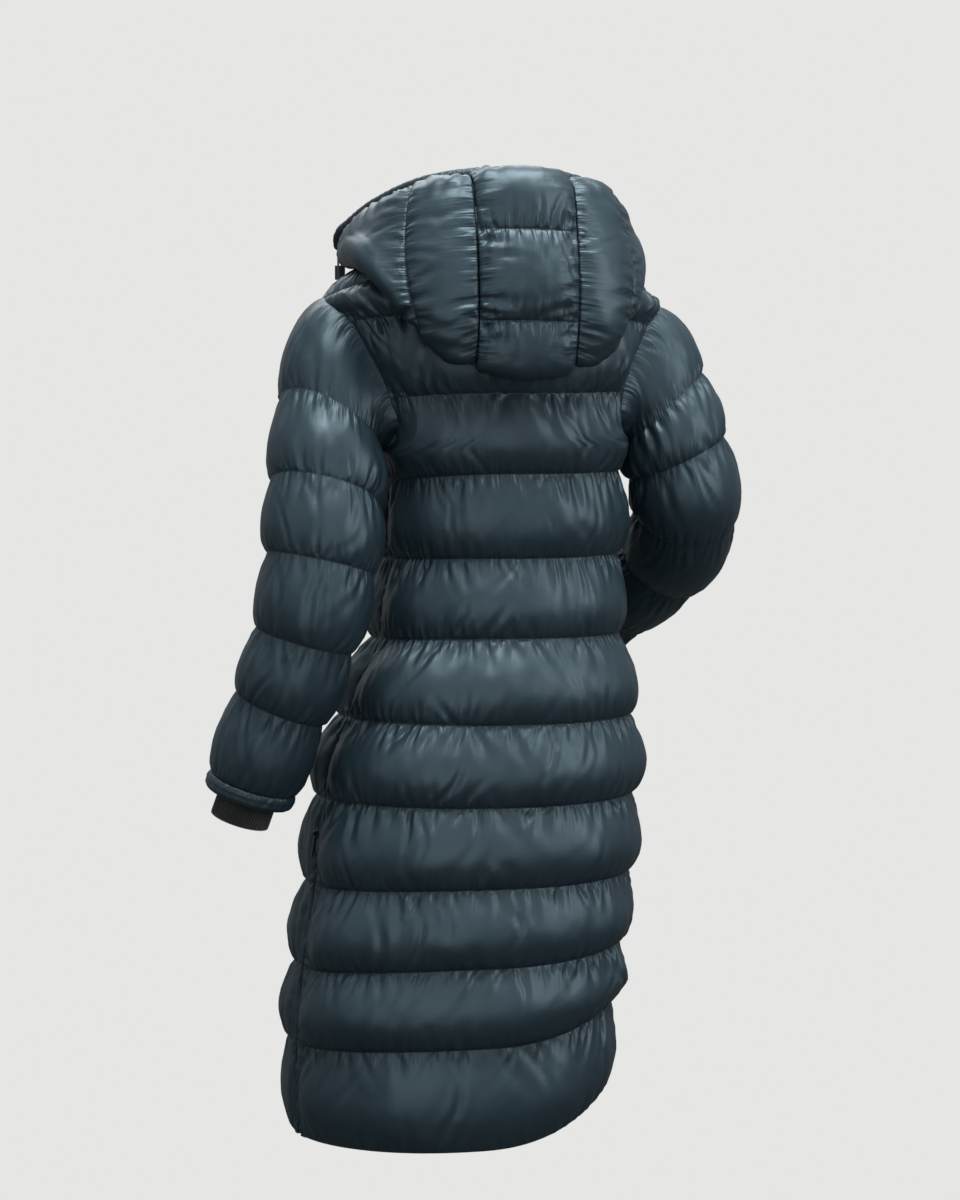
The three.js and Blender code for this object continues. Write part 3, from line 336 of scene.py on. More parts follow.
def folds(along, away, seed, other_side, spacing, depth, reach, width):
    """Folds that leave a stitch line; both sides of the line share their places."""
    rng = np.random.default_rng(seed)
    total = np.zeros(along.shape)
    away = np.maximum(away, 0)
    place = along.min() + rng.uniform(0, spacing[1])
    rise = (away + 0.6) / (away + 2.4)
    pick = 1 if other_side else 0
    while place < along.max():
        ends = rng.uniform(*reach, 2)
        skews = rng.uniform(-0.3, 0.3, 2)
        bends = rng.uniform(-0.006, 0.006, 2)
        size = depth * rng.uniform(0.3, 1.0) ** 1.1
        broad = rng.uniform(*width)
        x = (along - place - skews[pick] * away - bends[pick] * away**2) / (broad * (1 + away / 40))
        fade = rise * np.exp(-((away / ends[pick]) ** 1.6))
        trough = np.exp(-np.abs(x) ** 1.4) - 0.55 * np.exp(-((np.abs(x) - 1.9) ** 2))
        total -= size * fade * trough
        place += rng.uniform(*spacing)
    return total


def gathers(along, away, seed, other_side, spacing, depth, reach, width):
    """Broad folds from a stitch line with fine puckers between them."""
    fine = folds(
        along, away, seed + 31, other_side, FINE_SPACING, depth * FINE_SHARE, FINE_REACH, FINE_WIDTH,
    )
    return fine + folds(along, away, seed, other_side, spacing, depth, reach, width)


def slack_folds(along, height, seed, count, depth):
    """A few longer slanting troughs inside a channel."""
    rng = np.random.default_rng(seed)
    total = np.zeros(along.shape)
    for _ in range(count):
        middle_x = rng.uniform(along.min(), along.max())
        middle_y = rng.uniform(height.min(), height.max())
        turn = rng.uniform(-0.7, 0.7)
        long_half = rng.uniform(*SLACK_LENGTH)
        broad = rng.uniform(*SLACK_WIDTH)
        size = depth * rng.uniform(0.4, 1)
        dx = along - middle_x
        dy = height - middle_y
        p = (dx * math.sin(turn) + dy * math.cos(turn)) / long_half
        q = (dx * math.cos(turn) - dy * math.sin(turn) + 5 * p * p) / broad
        total -= size * np.exp(-p * p) * (np.exp(-q * q) - 0.45 * np.exp(-((np.abs(q) - 1.7) ** 2)))
    return total


LUMP_SIZES = (90, 55, 34, 22)


def ripple(along, height, seed, size):
    """Soft unevenness of the filling."""
    rng = np.random.default_rng(seed)
    total = np.zeros(along.shape)
    for scale in LUMP_SIZES:
        a, b, c, d = rng.uniform(0, 2 * np.pi, 4)
        turn = rng.uniform(-0.5, 0.5)
        u = (along * math.cos(turn) + height * math.sin(turn)) * 2 * np.pi / scale
        v = (height * math.cos(turn) - along * math.sin(turn)) * 2 * np.pi / (scale * 1.3)
        wave = np.sin(u + 0.8 * np.sin(v + a) + b) * np.sin(v + 0.6 * np.sin(u * 0.7 + c) + d)
        total += scale / LUMP_SIZES[0] * wave
    return total * size


def over_padding(puff, full_at, least):
    """Share of its size that a crease has where the padding is thin."""
    return np.clip(puff / full_at + least, 0, 1)


# Mesh making

def thinned(count, step):
    """Every few numbers below a count, always with the last."""
    return np.unique(np.append(np.arange(0, count, step), count - 1))


def stitch(first, second):
    """Triangles between two lines of vertex numbers that may differ in count."""
    faces = []
    i = j = 0
    while i < len(first) - 1 or j < len(second) - 1:
        next_first = (i + 1) / (len(first) - 1)
        next_second = (j + 1) / (len(second) - 1)
        if j == len(second) - 1 or (i < len(first) - 1 and next_first <= next_second):
            faces.append((first[i], second[j], first[i + 1]))
            i += 1
        else:
            faces.append((first[i], second[j], second[j + 1]))
            j += 1
    return faces


def quads(numbers, is_tube, turned):
    if is_tube:
        numbers = np.concatenate([numbers, numbers[:, :1]], 1)
    a = numbers[:-1, :-1].ravel()
    b = numbers[:-1, 1:].ravel()
    c = numbers[1:, 1:].ravel()
    d = numbers[1:, :-1].ravel()
    order = (d, c, b, a) if turned else (a, b, c, d)
    return np.stack(order, 1).tolist()


def mesh_object(name, points, faces, material, attributes=None):
    mesh = bpy.data.meshes.new(name)
    mesh.from_pydata((np.asarray(points) * MM).tolist(), [], faces)
    mesh.polygons.foreach_set("use_smooth", [True] * len(mesh.polygons))
    for key, values in (attributes or {}).items():
        layer = mesh.attributes.new(key, "FLOAT", "POINT")
        layer.data.foreach_set("value", np.asarray(values, np.float32))
    mesh.materials.append(material)
    mesh.update()
    piece = bpy.data.objects.new(name, mesh)
    bpy.context.collection.objects.link(piece)
    return piece


def wall_object(name, outer, inner, material, along, away, is_tube=False):
    """Closed cloth from an outer grid of points and a coarser inner one."""
    rows, columns = outer.shape[:2]
    outside = np.arange(rows * columns).reshape(rows, columns)
    inside = np.arange(inner.shape[0] * inner.shape[1]).reshape(inner.shape[:2]) + outside.size
    faces = quads(outside, is_tube, False) + quads(inside, is_tube, True)
    close = (lambda line: list(line) + [line[0]]) if is_tube else list
    faces += stitch(close(outside[0]), close(inside[0]))
    faces += stitch(close(outside[-1])[::-1], close(inside[-1])[::-1])
    if not is_tube:
        faces += stitch(list(outside[:, -1]), list(inside[:, -1]))
        faces += stitch(list(outside[:, 0])[::-1], list(inside[:, 0])[::-1])
    faces = [[int(v) for v in face] for face in faces]
    points = np.concatenate([outer.reshape(-1, 3), inner.reshape(-1, 3)])
    plain = np.full(inner.shape[0] * inner.shape[1], FAR)
    attributes = {
        "along": np.concatenate([along.ravel(), plain]),
        "away": np.concatenate([away.ravel(), plain]),
    }
    return mesh_object(name, points, faces, material, attributes)


def settle(piece, nodes):
    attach(piece, COAT)
    if nodes:
        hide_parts(*nodes)
    return piece


# Materials

def linear(code):
    """Linear colour of an sRGB hex value such as 1b2528."""
    shares = [int(code[at:at + 2], 16) / 255 for at in (0, 2, 4)]
    bent = [v / 12.92 if v <= 0.04045 else ((v + 0.055) / 1.055) ** 2.4 for v in shares]
    return (*bent, 1)


def add_node(tree, kind, inputs, **settings):
    """One node with its settings; an input takes a value or the output that feeds it."""
    node = tree.nodes.new(kind)
    for key, value in settings.items():
        setattr(node, key, value)
    for key, value in inputs.items():
        if isinstance(value, bpy.types.NodeSocket):
            tree.links.new(value, node.inputs[key])
        else:
            node.inputs[key].default_value = value
    return node


def new_material(name, roughness, **settings):
    material = bpy.data.materials.new(name)
    material.use_nodes = True
    shader = material.node_tree.nodes["Principled BSDF"]
    shader.inputs["Roughness"].default_value = roughness
    for key, value in settings.items():
        shader.inputs[key.replace("_", " ")].default_value = value
    return material, material.node_tree, shader


def per_metre(size):
    """Pattern scale for a real size in millimetres."""
    return 1 / (size * MM)


def mixed_color(tree, share, dark, light):
    mix = add_node(
        tree, "ShaderNodeMix", {"Factor": share, "A": linear(dark), "B": linear(light)}, data_type="RGBA",
    )
    return mix.outputs["Result"]


# Real sizes in millimetres; a pucker beside a stitch line is about 6 mm wide and 55 mm long
PUCKER_WIDE = 6.25
PUCKER_LONG = 55.6
PUCKER_REACH = 15
PUCKER_DEPTH = 4
CRUMPLE_SIZE = 38.5
SHADE_SIZE = 200
LOOP_SIZE = 1.6
LOOP_DEPTH = 0.5
# Tape yarns are 0.3 mm and thread twists 0.2 mm, drawn coarser so that they show
TAPE_YARN = 0.9
THREAD_TWIST = 0.5
CORD_BRAID = 1.1
PLASTIC_GRAIN = 0.8
METAL_BRUSHING = 0.6
# A wave texture at scale 1 repeats every pi / 10 of its coordinate
WAVE_REPEAT = math.pi / 10


def nylon_taffeta(name, dark, light):
    """Dyed and calendered nylon taffeta: its pressed face shines softly, broken by fine puckers."""
    tint = (0.7, 0.9, 1, 1)
    material, tree, shader = new_material(name, 0.42, Specular_IOR_Level=0.55, Specular_Tint=tint)
    place = add_node(tree, "ShaderNodeTexCoord", {}).outputs["Object"]
    shade = add_node(
        tree, "ShaderNodeTexNoise", {"Vector": place, "Scale": per_metre(SHADE_SIZE), "Detail": 3},
    )
    tree.links.new(mixed_color(tree, shade.outputs["Fac"], dark, light), shader.inputs["Base Color"])
    along = add_node(tree, "ShaderNodeAttribute", {}, attribute_name="along").outputs["Fac"]
    away = add_node(tree, "ShaderNodeAttribute", {}, attribute_name="away").outputs["Fac"]
    across = add_node(tree, "ShaderNodeMath", {0: along, 1: 1 / PUCKER_WIDE}, operation="MULTIPLY")
    down = add_node(tree, "ShaderNodeMath", {0: away, 1: 1 / PUCKER_LONG}, operation="MULTIPLY")
    spot = add_node(tree, "ShaderNodeCombineXYZ", {"X": across.outputs[0], "Y": down.outputs[0]})
    pucker = add_node(
        tree, "ShaderNodeTexNoise", {"Vector": spot.outputs["Vector"], "Scale": 1, "Detail": 2.5},
    )
    far = add_node(tree, "ShaderNodeMath", {0: away, 1: -PUCKER_REACH}, operation="DIVIDE")
    fade = add_node(tree, "ShaderNodeMath", {0: far.outputs[0]}, operation="EXPONENT")
    height = add_node(
        tree, "ShaderNodeMath", {0: pucker.outputs["Fac"], 1: fade.outputs[0]}, operation="MULTIPLY",
    )
    crumple = add_node(tree, "ShaderNodeTexNoise", {
        "Vector": place, "Scale": per_metre(CRUMPLE_SIZE), "Detail": 4, "Distortion": 0.6,
    })
    puckered = add_node(tree, "ShaderNodeBump", {
        "Strength": 1, "Distance": PUCKER_DEPTH * MM, "Height": height.outputs[0],
    })
    crumpled = add_node(tree, "ShaderNodeBump", {
        "Strength": 0.12, "Distance": PUCKER_DEPTH * MM,
        "Height": crumple.outputs["Fac"], "Normal": puckered.outputs["Normal"],
    })
    tree.links.new(crumpled.outputs["Normal"], shader.inputs["Normal"])
    return material


def rib_knit(name, dark, light):
    """Brushed 2 by 2 rib knit: matt, with fuzz that catches light and rows of loops across the ribs."""
    material, tree, shader = new_material(name, 0.9, Sheen_Weight=0.3, Sheen_Roughness=0.5)
    along = add_node(tree, "ShaderNodeAttribute", {}, attribute_name="along").outputs["Fac"]
    away = add_node(tree, "ShaderNodeAttribute", {}, attribute_name="away").outputs["Fac"]
    spot = add_node(tree, "ShaderNodeCombineXYZ", {"X": along, "Y": away})
    loops = add_node(tree, "ShaderNodeTexWave", {
        "Vector": spot.outputs["Vector"], "Scale": WAVE_REPEAT / LOOP_SIZE, "Distortion": 1.5, "Detail": 2,
    }, bands_direction="Y")
    tree.links.new(mixed_color(tree, loops.outputs["Fac"], dark, light), shader.inputs["Base Color"])
    raised = add_node(tree, "ShaderNodeBump", {
        "Strength": 0.7, "Distance": LOOP_DEPTH * MM, "Height": loops.outputs["Fac"],
    })
    tree.links.new(raised.outputs["Normal"], shader.inputs["Normal"])
    return material


def banded(name, dark, light, roughness, size, depth, direction, **settings):
    """Yarn that runs in even bands: woven tape, braided elastic or twisted thread."""
    material, tree, shader = new_material(name, roughness, **settings)
    place = add_node(tree, "ShaderNodeTexCoord", {}).outputs["Object"]
    yarn = add_node(tree, "ShaderNodeTexWave", {
        "Vector": place, "Scale": WAVE_REPEAT * per_metre(size), "Distortion": 0.8, "Detail": 1,
    }, bands_direction=direction)
    tree.links.new(mixed_color(tree, yarn.outputs["Fac"], dark, light), shader.inputs["Base Color"])
    raised = add_node(
        tree, "ShaderNodeBump", {"Strength": 0.6, "Distance": depth * MM, "Height": yarn.outputs["Fac"]},
    )
    tree.links.new(raised.outputs["Normal"], shader.inputs["Normal"])
    return material


def grained(name, dark, light, roughness, size, depth, **settings):
    """Hard surface with a fine grain: moulded plastic or brushed metal."""
    material, tree, shader = new_material(name, roughness, **settings)
    place = add_node(tree, "ShaderNodeTexCoord", {}).outputs["Object"]
    grain = add_node(
        tree, "ShaderNodeTexNoise", {"Vector": place, "Scale": per_metre(size), "Detail": 3},
    )
    tree.links.new(mixed_color(tree, grain.outputs["Fac"], dark, light), shader.inputs["Base Color"])
    raised = add_node(
        tree, "ShaderNodeBump", {"Strength": 0.35, "Distance": depth * MM, "Height": grain.outputs["Fac"]},
    )
    tree.links.new(raised.outputs["Normal"], shader.inputs["Normal"])
    return material


SHELL = nylon_taffeta("calendered_nylon_taffeta", "1a272d", "202d34")
RIB = rib_knit("brushed_rib_knit", "121111", "1b1a19")
# Woven polyester tape: matt, with ridges along the warp
TAPE = banded("woven_polyester_tape", "131415", "1b1c1e", 0.8, TAPE_YARN, 0.2, "DIAGONAL", Sheen_Weight=0.1)
# Braided elastic: matt, with slanting strands
CORD = banded("braided_elastic", "131415", "1c1d1f", 0.7, CORD_BRAID, 0.25, "DIAGONAL", Sheen_Weight=0.15)
# Spun polyester thread: a dull line with a twist
THREAD = banded("spun_polyester_thread", "18222a", "212c34", 0.6, THREAD_TWIST, 0.1, "DIAGONAL")
# Moulded acetal: dense and slightly glossy, with a spark-eroded grain
LOCK = grained("moulded_acetal", "161617", "1a1a1c", 0.38, PLASTIC_GRAIN, 0.06, IOR=1.48)
# Black nickel on brushed zinc: dark, with narrow highlights
METAL = grained("brushed_black_nickel", "242426", "2c2c2f", 0.35, METAL_BRUSHING, 0.05, Metallic=0.9)

# Body panels
CHANNEL_ROWS = 24
VENT_BAND = 10
VENT_RISE = 1.6
VENT_FLAT = 0.5
VENT_FLAT_REACH = (12, 75)
VENT_FADE = 0.3
GROOVE_SHARE = 0.75
GROOVE_WIDTH = 2.6
CHANNEL_HEIGHT = 95.0
# The cloth over a channel's padding is longer than the chord between its seams
ARC_OVER_CHORD = 1.15


def vent_groove(level, distance):
    """Share by which a stitch line along the vent's edge pulls the cloth in."""
    below_top = smoothstep(VENT_TOP - level, 0, VENT_FADE)
    return GROOVE_SHARE * below_top * np.exp(-(((distance - VENT_BAND) / GROOVE_WIDTH) ** 2))


def vent_ruching(level, distance, seed):
    """Close puckers across the strip between the vent's edge and its stitch line."""
    strip = smoothstep(VENT_TOP - level, 0, VENT_FADE) * smoothstep(VENT_BAND + 3 - distance, 0, 4)
    puckers = folds(level * CHANNEL_HEIGHT, distance + 4, seed, False, *VENT_STRIP)
    return (VENT_RISE + puckers) * strip


ROW_EASE = 0.75
COLUMN_EASE = 0.5


def crowded(even, ease):
    """Even shares from 0 to 1 drawn closer together near both ends."""
    return even - ease * np.sin(2 * np.pi * even) / (2 * np.pi)


def channel_steps(rows):
    """Steps across one channel, closer together beside its stitch lines."""
    return crowded(np.arange(rows) / rows, ROW_EASE)


def body_panel(name, columns, start_edge, end_edge, vent_sides, seed):
    steps = channel_steps(CHANNEL_ROWS)
    levels = np.concatenate([channel + steps for channel in range(TOP_LEVEL)] + [[TOP_LEVEL]])
    eased = crowded(np.linspace(0, 1, columns + 1), COLUMN_EASE)
    start = start_edge(levels)[:, None]
    end = end_edge(levels)[:, None]
    angle = start + (end - start) * eased
    level = np.broadcast_to(levels[:, None], angle.shape)
    speed = arc_speed(level, angle)
    to_start = (angle - start) * speed
    to_end = (end - angle) * speed
    nearest = np.minimum(to_start, to_end)
    puff = sample(BODY, "puff", np.minimum(np.floor(level), TOP_LEVEL))
    fullness = puff_profile(level) * swell(level, angle)
    lift = WALL + puff * fullness * edge_factor(nearest, level) * armpit_factor(level, angle)
    along = (angle - angle[:, :1].mean()) * speed.mean()
    away = np.full(angle.shape, FAR)
    crease = np.zeros(angle.shape)
    for channel in range(TOP_LEVEL):
        rows = slice(channel * CHANNEL_ROWS, (channel + 1) * CHANNEL_ROWS)
        inside = body_inside(np.array([channel, channel + 1.0]), np.array([np.pi / 2, np.pi / 2]))
        tall = np.linalg.norm(inside[1] - inside[0]) * ARC_OVER_CHORD
        from_low = (level[rows] - channel) * tall
        from_high = (channel + 1 - level[rows]) * tall
        here = along[rows]
        local = gathers(here, from_low, seed + channel, False, *OVER_SEAM)
        local += gathers(here, from_high, seed + channel + 1, True, *UNDER_SEAM)
        local += slack_folds(here, from_low, seed + 40 + channel, columns // 40, 2.4)
        local += ripple(here, from_low, seed + 80 + channel, 0.45)
        crease[rows] = local
        away[rows] = np.minimum(from_low, from_high)
    height = level * CHANNEL_HEIGHT
    crease += gathers(height, to_start, seed + 101, False, *BESIDE_EDGE)
    crease += gathers(height, to_end, seed + 102, False, *BESIDE_EDGE)
    vents = vent_sides(to_start, to_end)
    groove = sum(vent_groove(level, distance) for distance in vents)
    lift = WALL + (lift - WALL) * (1 - groove)
    if len(vents) == 1:
        slack = (1 - smoothstep(vents[0], *VENT_FLAT_REACH)) * smoothstep(VENT_TOP - level, -0.6, 0.6)
        lift = WALL + (lift - WALL) * (1 - VENT_FLAT * slack)
    crease *= over_padding(lift - WALL, 4, 0.2)
    crease += sum(vent_ruching(level, distance, seed + 150 + i) for i, distance in enumerate(vents))
    outer = body_point(level, angle, np.maximum(lift + crease, THINNEST))
    grid = np.ix_(thinned(len(levels), INNER_ROWS), thinned(columns + 1, INNER_COLUMNS))
    inner = body_inside(level[grid], angle[grid])
    piece = wall_object(name, outer, inner, SHELL, along, away)
    settle(piece, [name.replace("padded_", "")])


def build_body():
    """Back and two fronts; a panel's vents are the edges that are open below."""
    def left(face):
        return lambda level: edge_angle(level, 1, face)

    def right(face):
        return lambda level: edge_angle(level, -1, face)

    body_panel("padded_back_panel", 316, left(1), right(1), lambda start, end: (start, end), 1000)
    body_panel(
        "padded_front_left", 160,
        lambda level: zip_angle(level, 1, ZIP_HALF_GAP),
        lambda level: left(-1)(level) + 2 * np.pi,
        lambda start, end: (end,), 2000,
    )
    body_panel(
        "padded_front_right", 160,
        right(-1),
        lambda level: zip_angle(level, -1, ZIP_HALF_GAP),
        lambda start, end: (start,), 3000,
    )


# Sleeves

def armhole_rim(side):
    rows = [
        channel + step
        for channel in range(TOP_LEVEL)
        for step in (BODY_STEPS if channel < ARMHOLE_CHANNEL else ARMHOLE_STEPS)
        if ARMPIT_LEVEL + 0.01 < channel + step < SHOULDER_LEVEL - 0.01
    ]
    stations = [(SHOULDER_LEVEL, 0)] + [(level, 1) for level in reversed(rows)]
    stations += [(ARMPIT_LEVEL, 0)] + [(level, -1) for level in rows]
    level = np.array([station[0] for station in stations], float)
    angle = np.array([
        (edge_angle(at, side, 1) + edge_angle(at, side, -1)) / 2 if face == 0 else edge_angle(at, side, face)
        for at, face in stations
    ])
    inside = body_inside(level, angle)
    outside = body_point(level, angle, np.full(level.shape, float(WALL)))
    centre = outside.mean(0)
    outward = np.array([side * ARMHOLE_CLEARANCE, 0, 0])

    def pull(points):
        return points + unit(centre - points) * ARMHOLE_CLEARANCE + outward

    return pull(inside), pull(outside)


def closed_curve(points, places):
    """Smooth closed curve through points, read at places counted in points."""
    count = len(points)
    start = np.floor(places).astype(int)
    t = (places - start)[:, None]
    p0, p1, p2, p3 = (points[(start + k) % count] for k in (-1, 0, 1, 2))
    return hermite(t, p1, (p2 - p0) / 2, p2, (p3 - p1) / 2)


def sleeve_inside(rows, side, level, angle):
    """Ring points of a sleeve; level is one number and angle an array."""
    def centre(at):
        return np.array([float(sample(rows, key, at)) for key in "xyz"])

    last = len(rows["x"]) - 1
    down = unit(centre(min(level + 0.1, last)) - centre(max(level - 0.1, 0)))
    outward = np.array([side, 0.0, 0.0])
    outward = unit(outward - down * outward.dot(down))
    backward = np.cross(outward, down) * side
    wide = float(sample(rows, "wide", level))
    deep = float(sample(rows, "deep", level))
    lag = -math.tan(math.radians(float(sample(rows, "slant", level)))) * wide
    cosine = np.cos(angle)[:, None]
    sine = np.sin(angle)[:, None]
    return centre(level) + outward * wide * cosine + backward * deep * sine + down * lag * cosine


def tube_normals(grid):
    around = np.roll(grid, -1, 1) - np.roll(grid, 1, 1)
    down = np.gradient(grid, axis=0)
    normal = unit(np.cross(around, down))
    away = grid - grid.mean(1, keepdims=True)
    return np.where((normal * away).sum(-1, keepdims=True) < 0, -normal, normal)


SLEEVE_AROUND = 208
SLEEVE_ROWS = 24
SLEEVE_RADIUS = 62.0
SLEEVE_INNER_COLUMNS = 4
# Width of the strip under the sleeve where its creases fade out and meet
SLEEVE_MEETING = 16


def build_sleeve(label, rows, side, seed):
    rim_inside, rim_outside = armhole_rim(side)
    angle = np.arange(SLEEVE_AROUND) * 2 * np.pi / SLEEVE_AROUND
    places = np.arange(SLEEVE_AROUND) * len(rim_inside) / SLEEVE_AROUND
    start = closed_curve(rim_inside, places)
    outside = closed_curve(rim_outside, places)
    finish = sleeve_inside(rows, side, 0, angle)
    join = unit(sleeve_inside(rows, side, 0.1, angle) - finish)
    speed = np.minimum(HEAD_LEAVE, np.linalg.norm(finish - start, axis=1))[:, None]
    leave = np.array([side, 0.0, 0.0]) * speed
    steps = np.append(channel_steps(SLEEVE_ROWS), 1)
    channels = len(rows["x"]) - 1
    base = []
    lift = []
    for step in steps:
        base.append(hermite(step, start, leave, finish, join * speed))
        rise = max(math.sin(math.pi * step**HEAD_FULLEST), 0) ** HEAD_SHAPE
        lift.append(WALL + HEAD_PUFF * rise * (0.6 + 0.4 * np.cos(angle)))
    for channel in range(channels):
        for step in steps[1:]:
            base.append(sleeve_inside(rows, side, channel + step, angle))
            uneven = 1 + 0.1 * np.sin(3 * angle + channel * 2.3)
            full = max(math.sin(math.pi * step**FULLEST), 0) ** PUFF_SHAPE
            lift.append(WALL + rows["puff"][channel] * uneven * full)
    base = np.array(base)
    lift = np.array(lift)
    normals = tube_normals(base)
    travel = np.linalg.norm(np.diff(base, axis=0), axis=2)
    travel = np.concatenate([np.zeros((1, SLEEVE_AROUND)), np.cumsum(travel, 0)])
    along = np.broadcast_to(angle * SLEEVE_RADIUS, lift.shape)
    away = np.full(lift.shape, FAR)
    crease = np.zeros(lift.shape)
    for channel in range(channels + 1):
        first = channel * SLEEVE_ROWS
        part = slice(first, first + SLEEVE_ROWS + 1)
        from_high = travel[part] - travel[first]
        from_low = travel[first + SLEEVE_ROWS] - travel[part]
        here = along[part]
        key = seed + channel
        upper = ARMHOLE_SEAM if channel == 0 else UNDER_SLEEVE_SEAM
        local = gathers(here, from_high, key, True, *upper)
        local += gathers(here, from_low, key + 1, False, *OVER_SLEEVE_SEAM)
        local += slack_folds(here, from_low, seed + 40 + channel, 6, 2.4)
        local += ripple(here, from_low, seed + 80 + channel, 0.5)
        crease[part] = local
        away[part] = np.minimum(from_high, from_low)
    blend = smoothstep(np.minimum(along, along.max() - along), 0, SLEEVE_MEETING)
    crease *= blend * over_padding(lift - WALL, 3.5, 0.2)
    outer = base + normals * np.maximum(lift + crease, THINNEST)[..., None]
    outer[0] = outside
    inner = base[thinned(len(base), INNER_ROWS)][:, ::SLEEVE_INNER_COLUMNS]
    order = slice(None, None, -1 if side > 0 else 1)
    piece = wall_object(
        f"padded_sleeve_{label}", outer[:, order], inner[:, order], SHELL,
        along[:, order], away[:, order], is_tube=True,
    )
    settle(piece, [f"sleeve_{label}"])


# Hood, collar and rim

COLLAR = {"wide": 99, "back": 90, "front": 108, "backZ": 50, "sideZ": 32, "foreZ": 0}
COLLAR_PART = math.radians(34)
COLLAR_GAP = 0.6
COLLAR_PUFF = 5
MEETING_FADE = 45
RIM_DEEP = 7.5
RIM_TALL = 10
RIM_GAP = 0.8
# Reach past the hood's edge, drop, and share of the rim's full size
RIM_TIP = ((6, 1, 1), (13, 4, 1), (20, 9, 0.9), (24, 13, 0.62), (25, 14, 0.3))
CENTRE_COLUMNS = 110
REAR_COLUMNS = 46
FLANK_COLUMNS = 96
HOOD_CHANNEL_ROWS = 34
HOOD_UNDER_ROWS = 15
HOOD_EASE = 0.6
COLLAR_COLUMNS = 190
COLLAR_ROWS = 26
RIM_REACH = 9
RIM_FORWARD = 1.04
RIM_UPWARD = 0.95
RIM_STATIONS = 230
TIP_STATIONS = 19
RIM_AROUND = 28


def hood_nodes(level):
    """The seven points of a hood line, from the right front edge to the left front edge."""
    def place(key):
        return np.array([float(sample(HOOD, key + axis, level)) for axis in "XYZ"])

    end, cap, flank = place("end"), place("cap"), place("flank")
    back = np.array([0, float(sample(HOOD, "backY", level)), float(sample(HOOD, "backZ", level))])
    drawn = bump(level / UNDER_LEVEL)

    def mirror(point):
        x, y, z = np.array(RIGHT_DRAW) * drawn
        return np.array([x - point[0], point[1] - y, point[2] + z])

    right_flank = flank * np.array([-1, 1, 1])
    return np.array([mirror(end), mirror(cap), right_flank, back, flank, cap, end])


def hood_line(level, share):
    """Centripetal curve through a hood line's points, read at an array of shares."""
    nodes = hood_nodes(level)
    padded = np.concatenate([[2 * nodes[0] - nodes[1]], nodes, [2 * nodes[-1] - nodes[-2]]])
    run = np.clip(np.asarray(share, float), 0, 1) * (len(nodes) - 1)
    start = np.minimum(np.floor(run).astype(int), len(nodes) - 2)
    t = (run - start)[..., None]
    p0, p1, p2, p3 = (padded[start + k] for k in range(4))
    d0, d1, d2 = (
        np.sqrt(np.linalg.norm(b - a, axis=-1, keepdims=True)) for a, b in ((p0, p1), (p1, p2), (p2, p3))
    )
    leave = ((p1 - p0) / d0 - (p2 - p0) / (d0 + d1) + (p2 - p1) / d1) * d1
    arrive = ((p2 - p1) / d1 - (p3 - p1) / (d1 + d2) + (p3 - p2) / d2) * d1
    return hermite(t, p1, leave, p2, arrive)


def share_at_x(level, x):
    low, high = 0.0, 1.0
    for _ in range(22):
        middle = (low + high) / 2
        if hood_line(level, middle)[0] < x:
            low = middle
        else:
            high = middle
    return (low + high) / 2


def open_normals(grid):
    return unit(np.cross(np.gradient(grid, axis=1), np.gradient(grid, axis=0)))


def lengths(grid, axis):
    """Distance travelled along one axis of a grid."""
    travel = np.cumsum(np.linalg.norm(np.diff(grid, axis=axis), axis=2), axis=axis)
    return np.concatenate([np.zeros_like(np.take(travel, [0], axis)), travel], axis)


def travelled(line):
    """Distance from a line's start at each of its points."""
    return np.concatenate([[0], np.cumsum(np.linalg.norm(np.diff(line, axis=0), axis=1))])


def seam_distances(run, rows, seams, axis):
    """Distance of each point to the nearest seam line before it and after it."""
    lines = [np.take(run, np.argmin(np.abs(rows - seam)), axis) for seam in seams]
    shape = (1, -1) if axis == 0 else (-1, 1)
    before = np.full(run.shape, 1e3)
    after = np.full(run.shape, 1e3)
    for line in lines:
        gap = run - line.reshape(shape)
        before = np.where(gap >= -1e-6, np.minimum(before, np.abs(gap)), before)
        after = np.where(gap <= 1e-6, np.minimum(after, np.abs(gap)), after)
    return before, after


def hood_panel(name, nodes, levels, shares, cross_seams, run_seams, puff_at, seed):
    """Hood cloth over rows of levels; shares gives each level's row of curve shares."""
    columns = np.linspace(0, 1, shares.shape[1])
    base = np.array([hood_line(level, row) for level, row in zip(levels, shares)])
    puff = puff_at(levels[:, None], columns[None, :])
    normals = open_normals(base)
    across = lengths(base, 1)
    down = lengths(base, 0)
    above, below = seam_distances(down, levels, cross_seams, 0)
    before, after = seam_distances(across, columns, run_seams, 1)
    crease = gathers(across, above, seed, False, *UNDER_HOOD_SEAM)
    crease += gathers(across, below, seed + 1, True, *OVER_HOOD_SEAM)
    crease += gathers(down, before, seed + 2, False, *ALONG_HOOD_SEAM)
    crease += gathers(down, after, seed + 3, True, *ALONG_HOOD_SEAM)
    crease += slack_folds(across, down, seed + 4, 7, 2.0)
    crease += ripple(across, down, seed + 5, 0.5)
    crease *= over_padding(puff, 4, 0.1)
    outer = base + normals * np.maximum(HOOD_WALL + puff + crease, THINNEST)[..., None]
    inner = base[np.ix_(thinned(len(levels), INNER_ROWS), thinned(shares.shape[1], INNER_COLUMNS))]
    to_row = np.minimum(above, below)
    to_side = np.minimum(before, after)
    along = np.where(to_row < to_side, across, down)
    meeting = MEETING_FADE * np.exp(-(((to_row - to_side) / 5) ** 2))
    piece = wall_object(name, outer, inner, SHELL, along, np.minimum(to_row, to_side) + meeting)
    settle(piece, nodes)


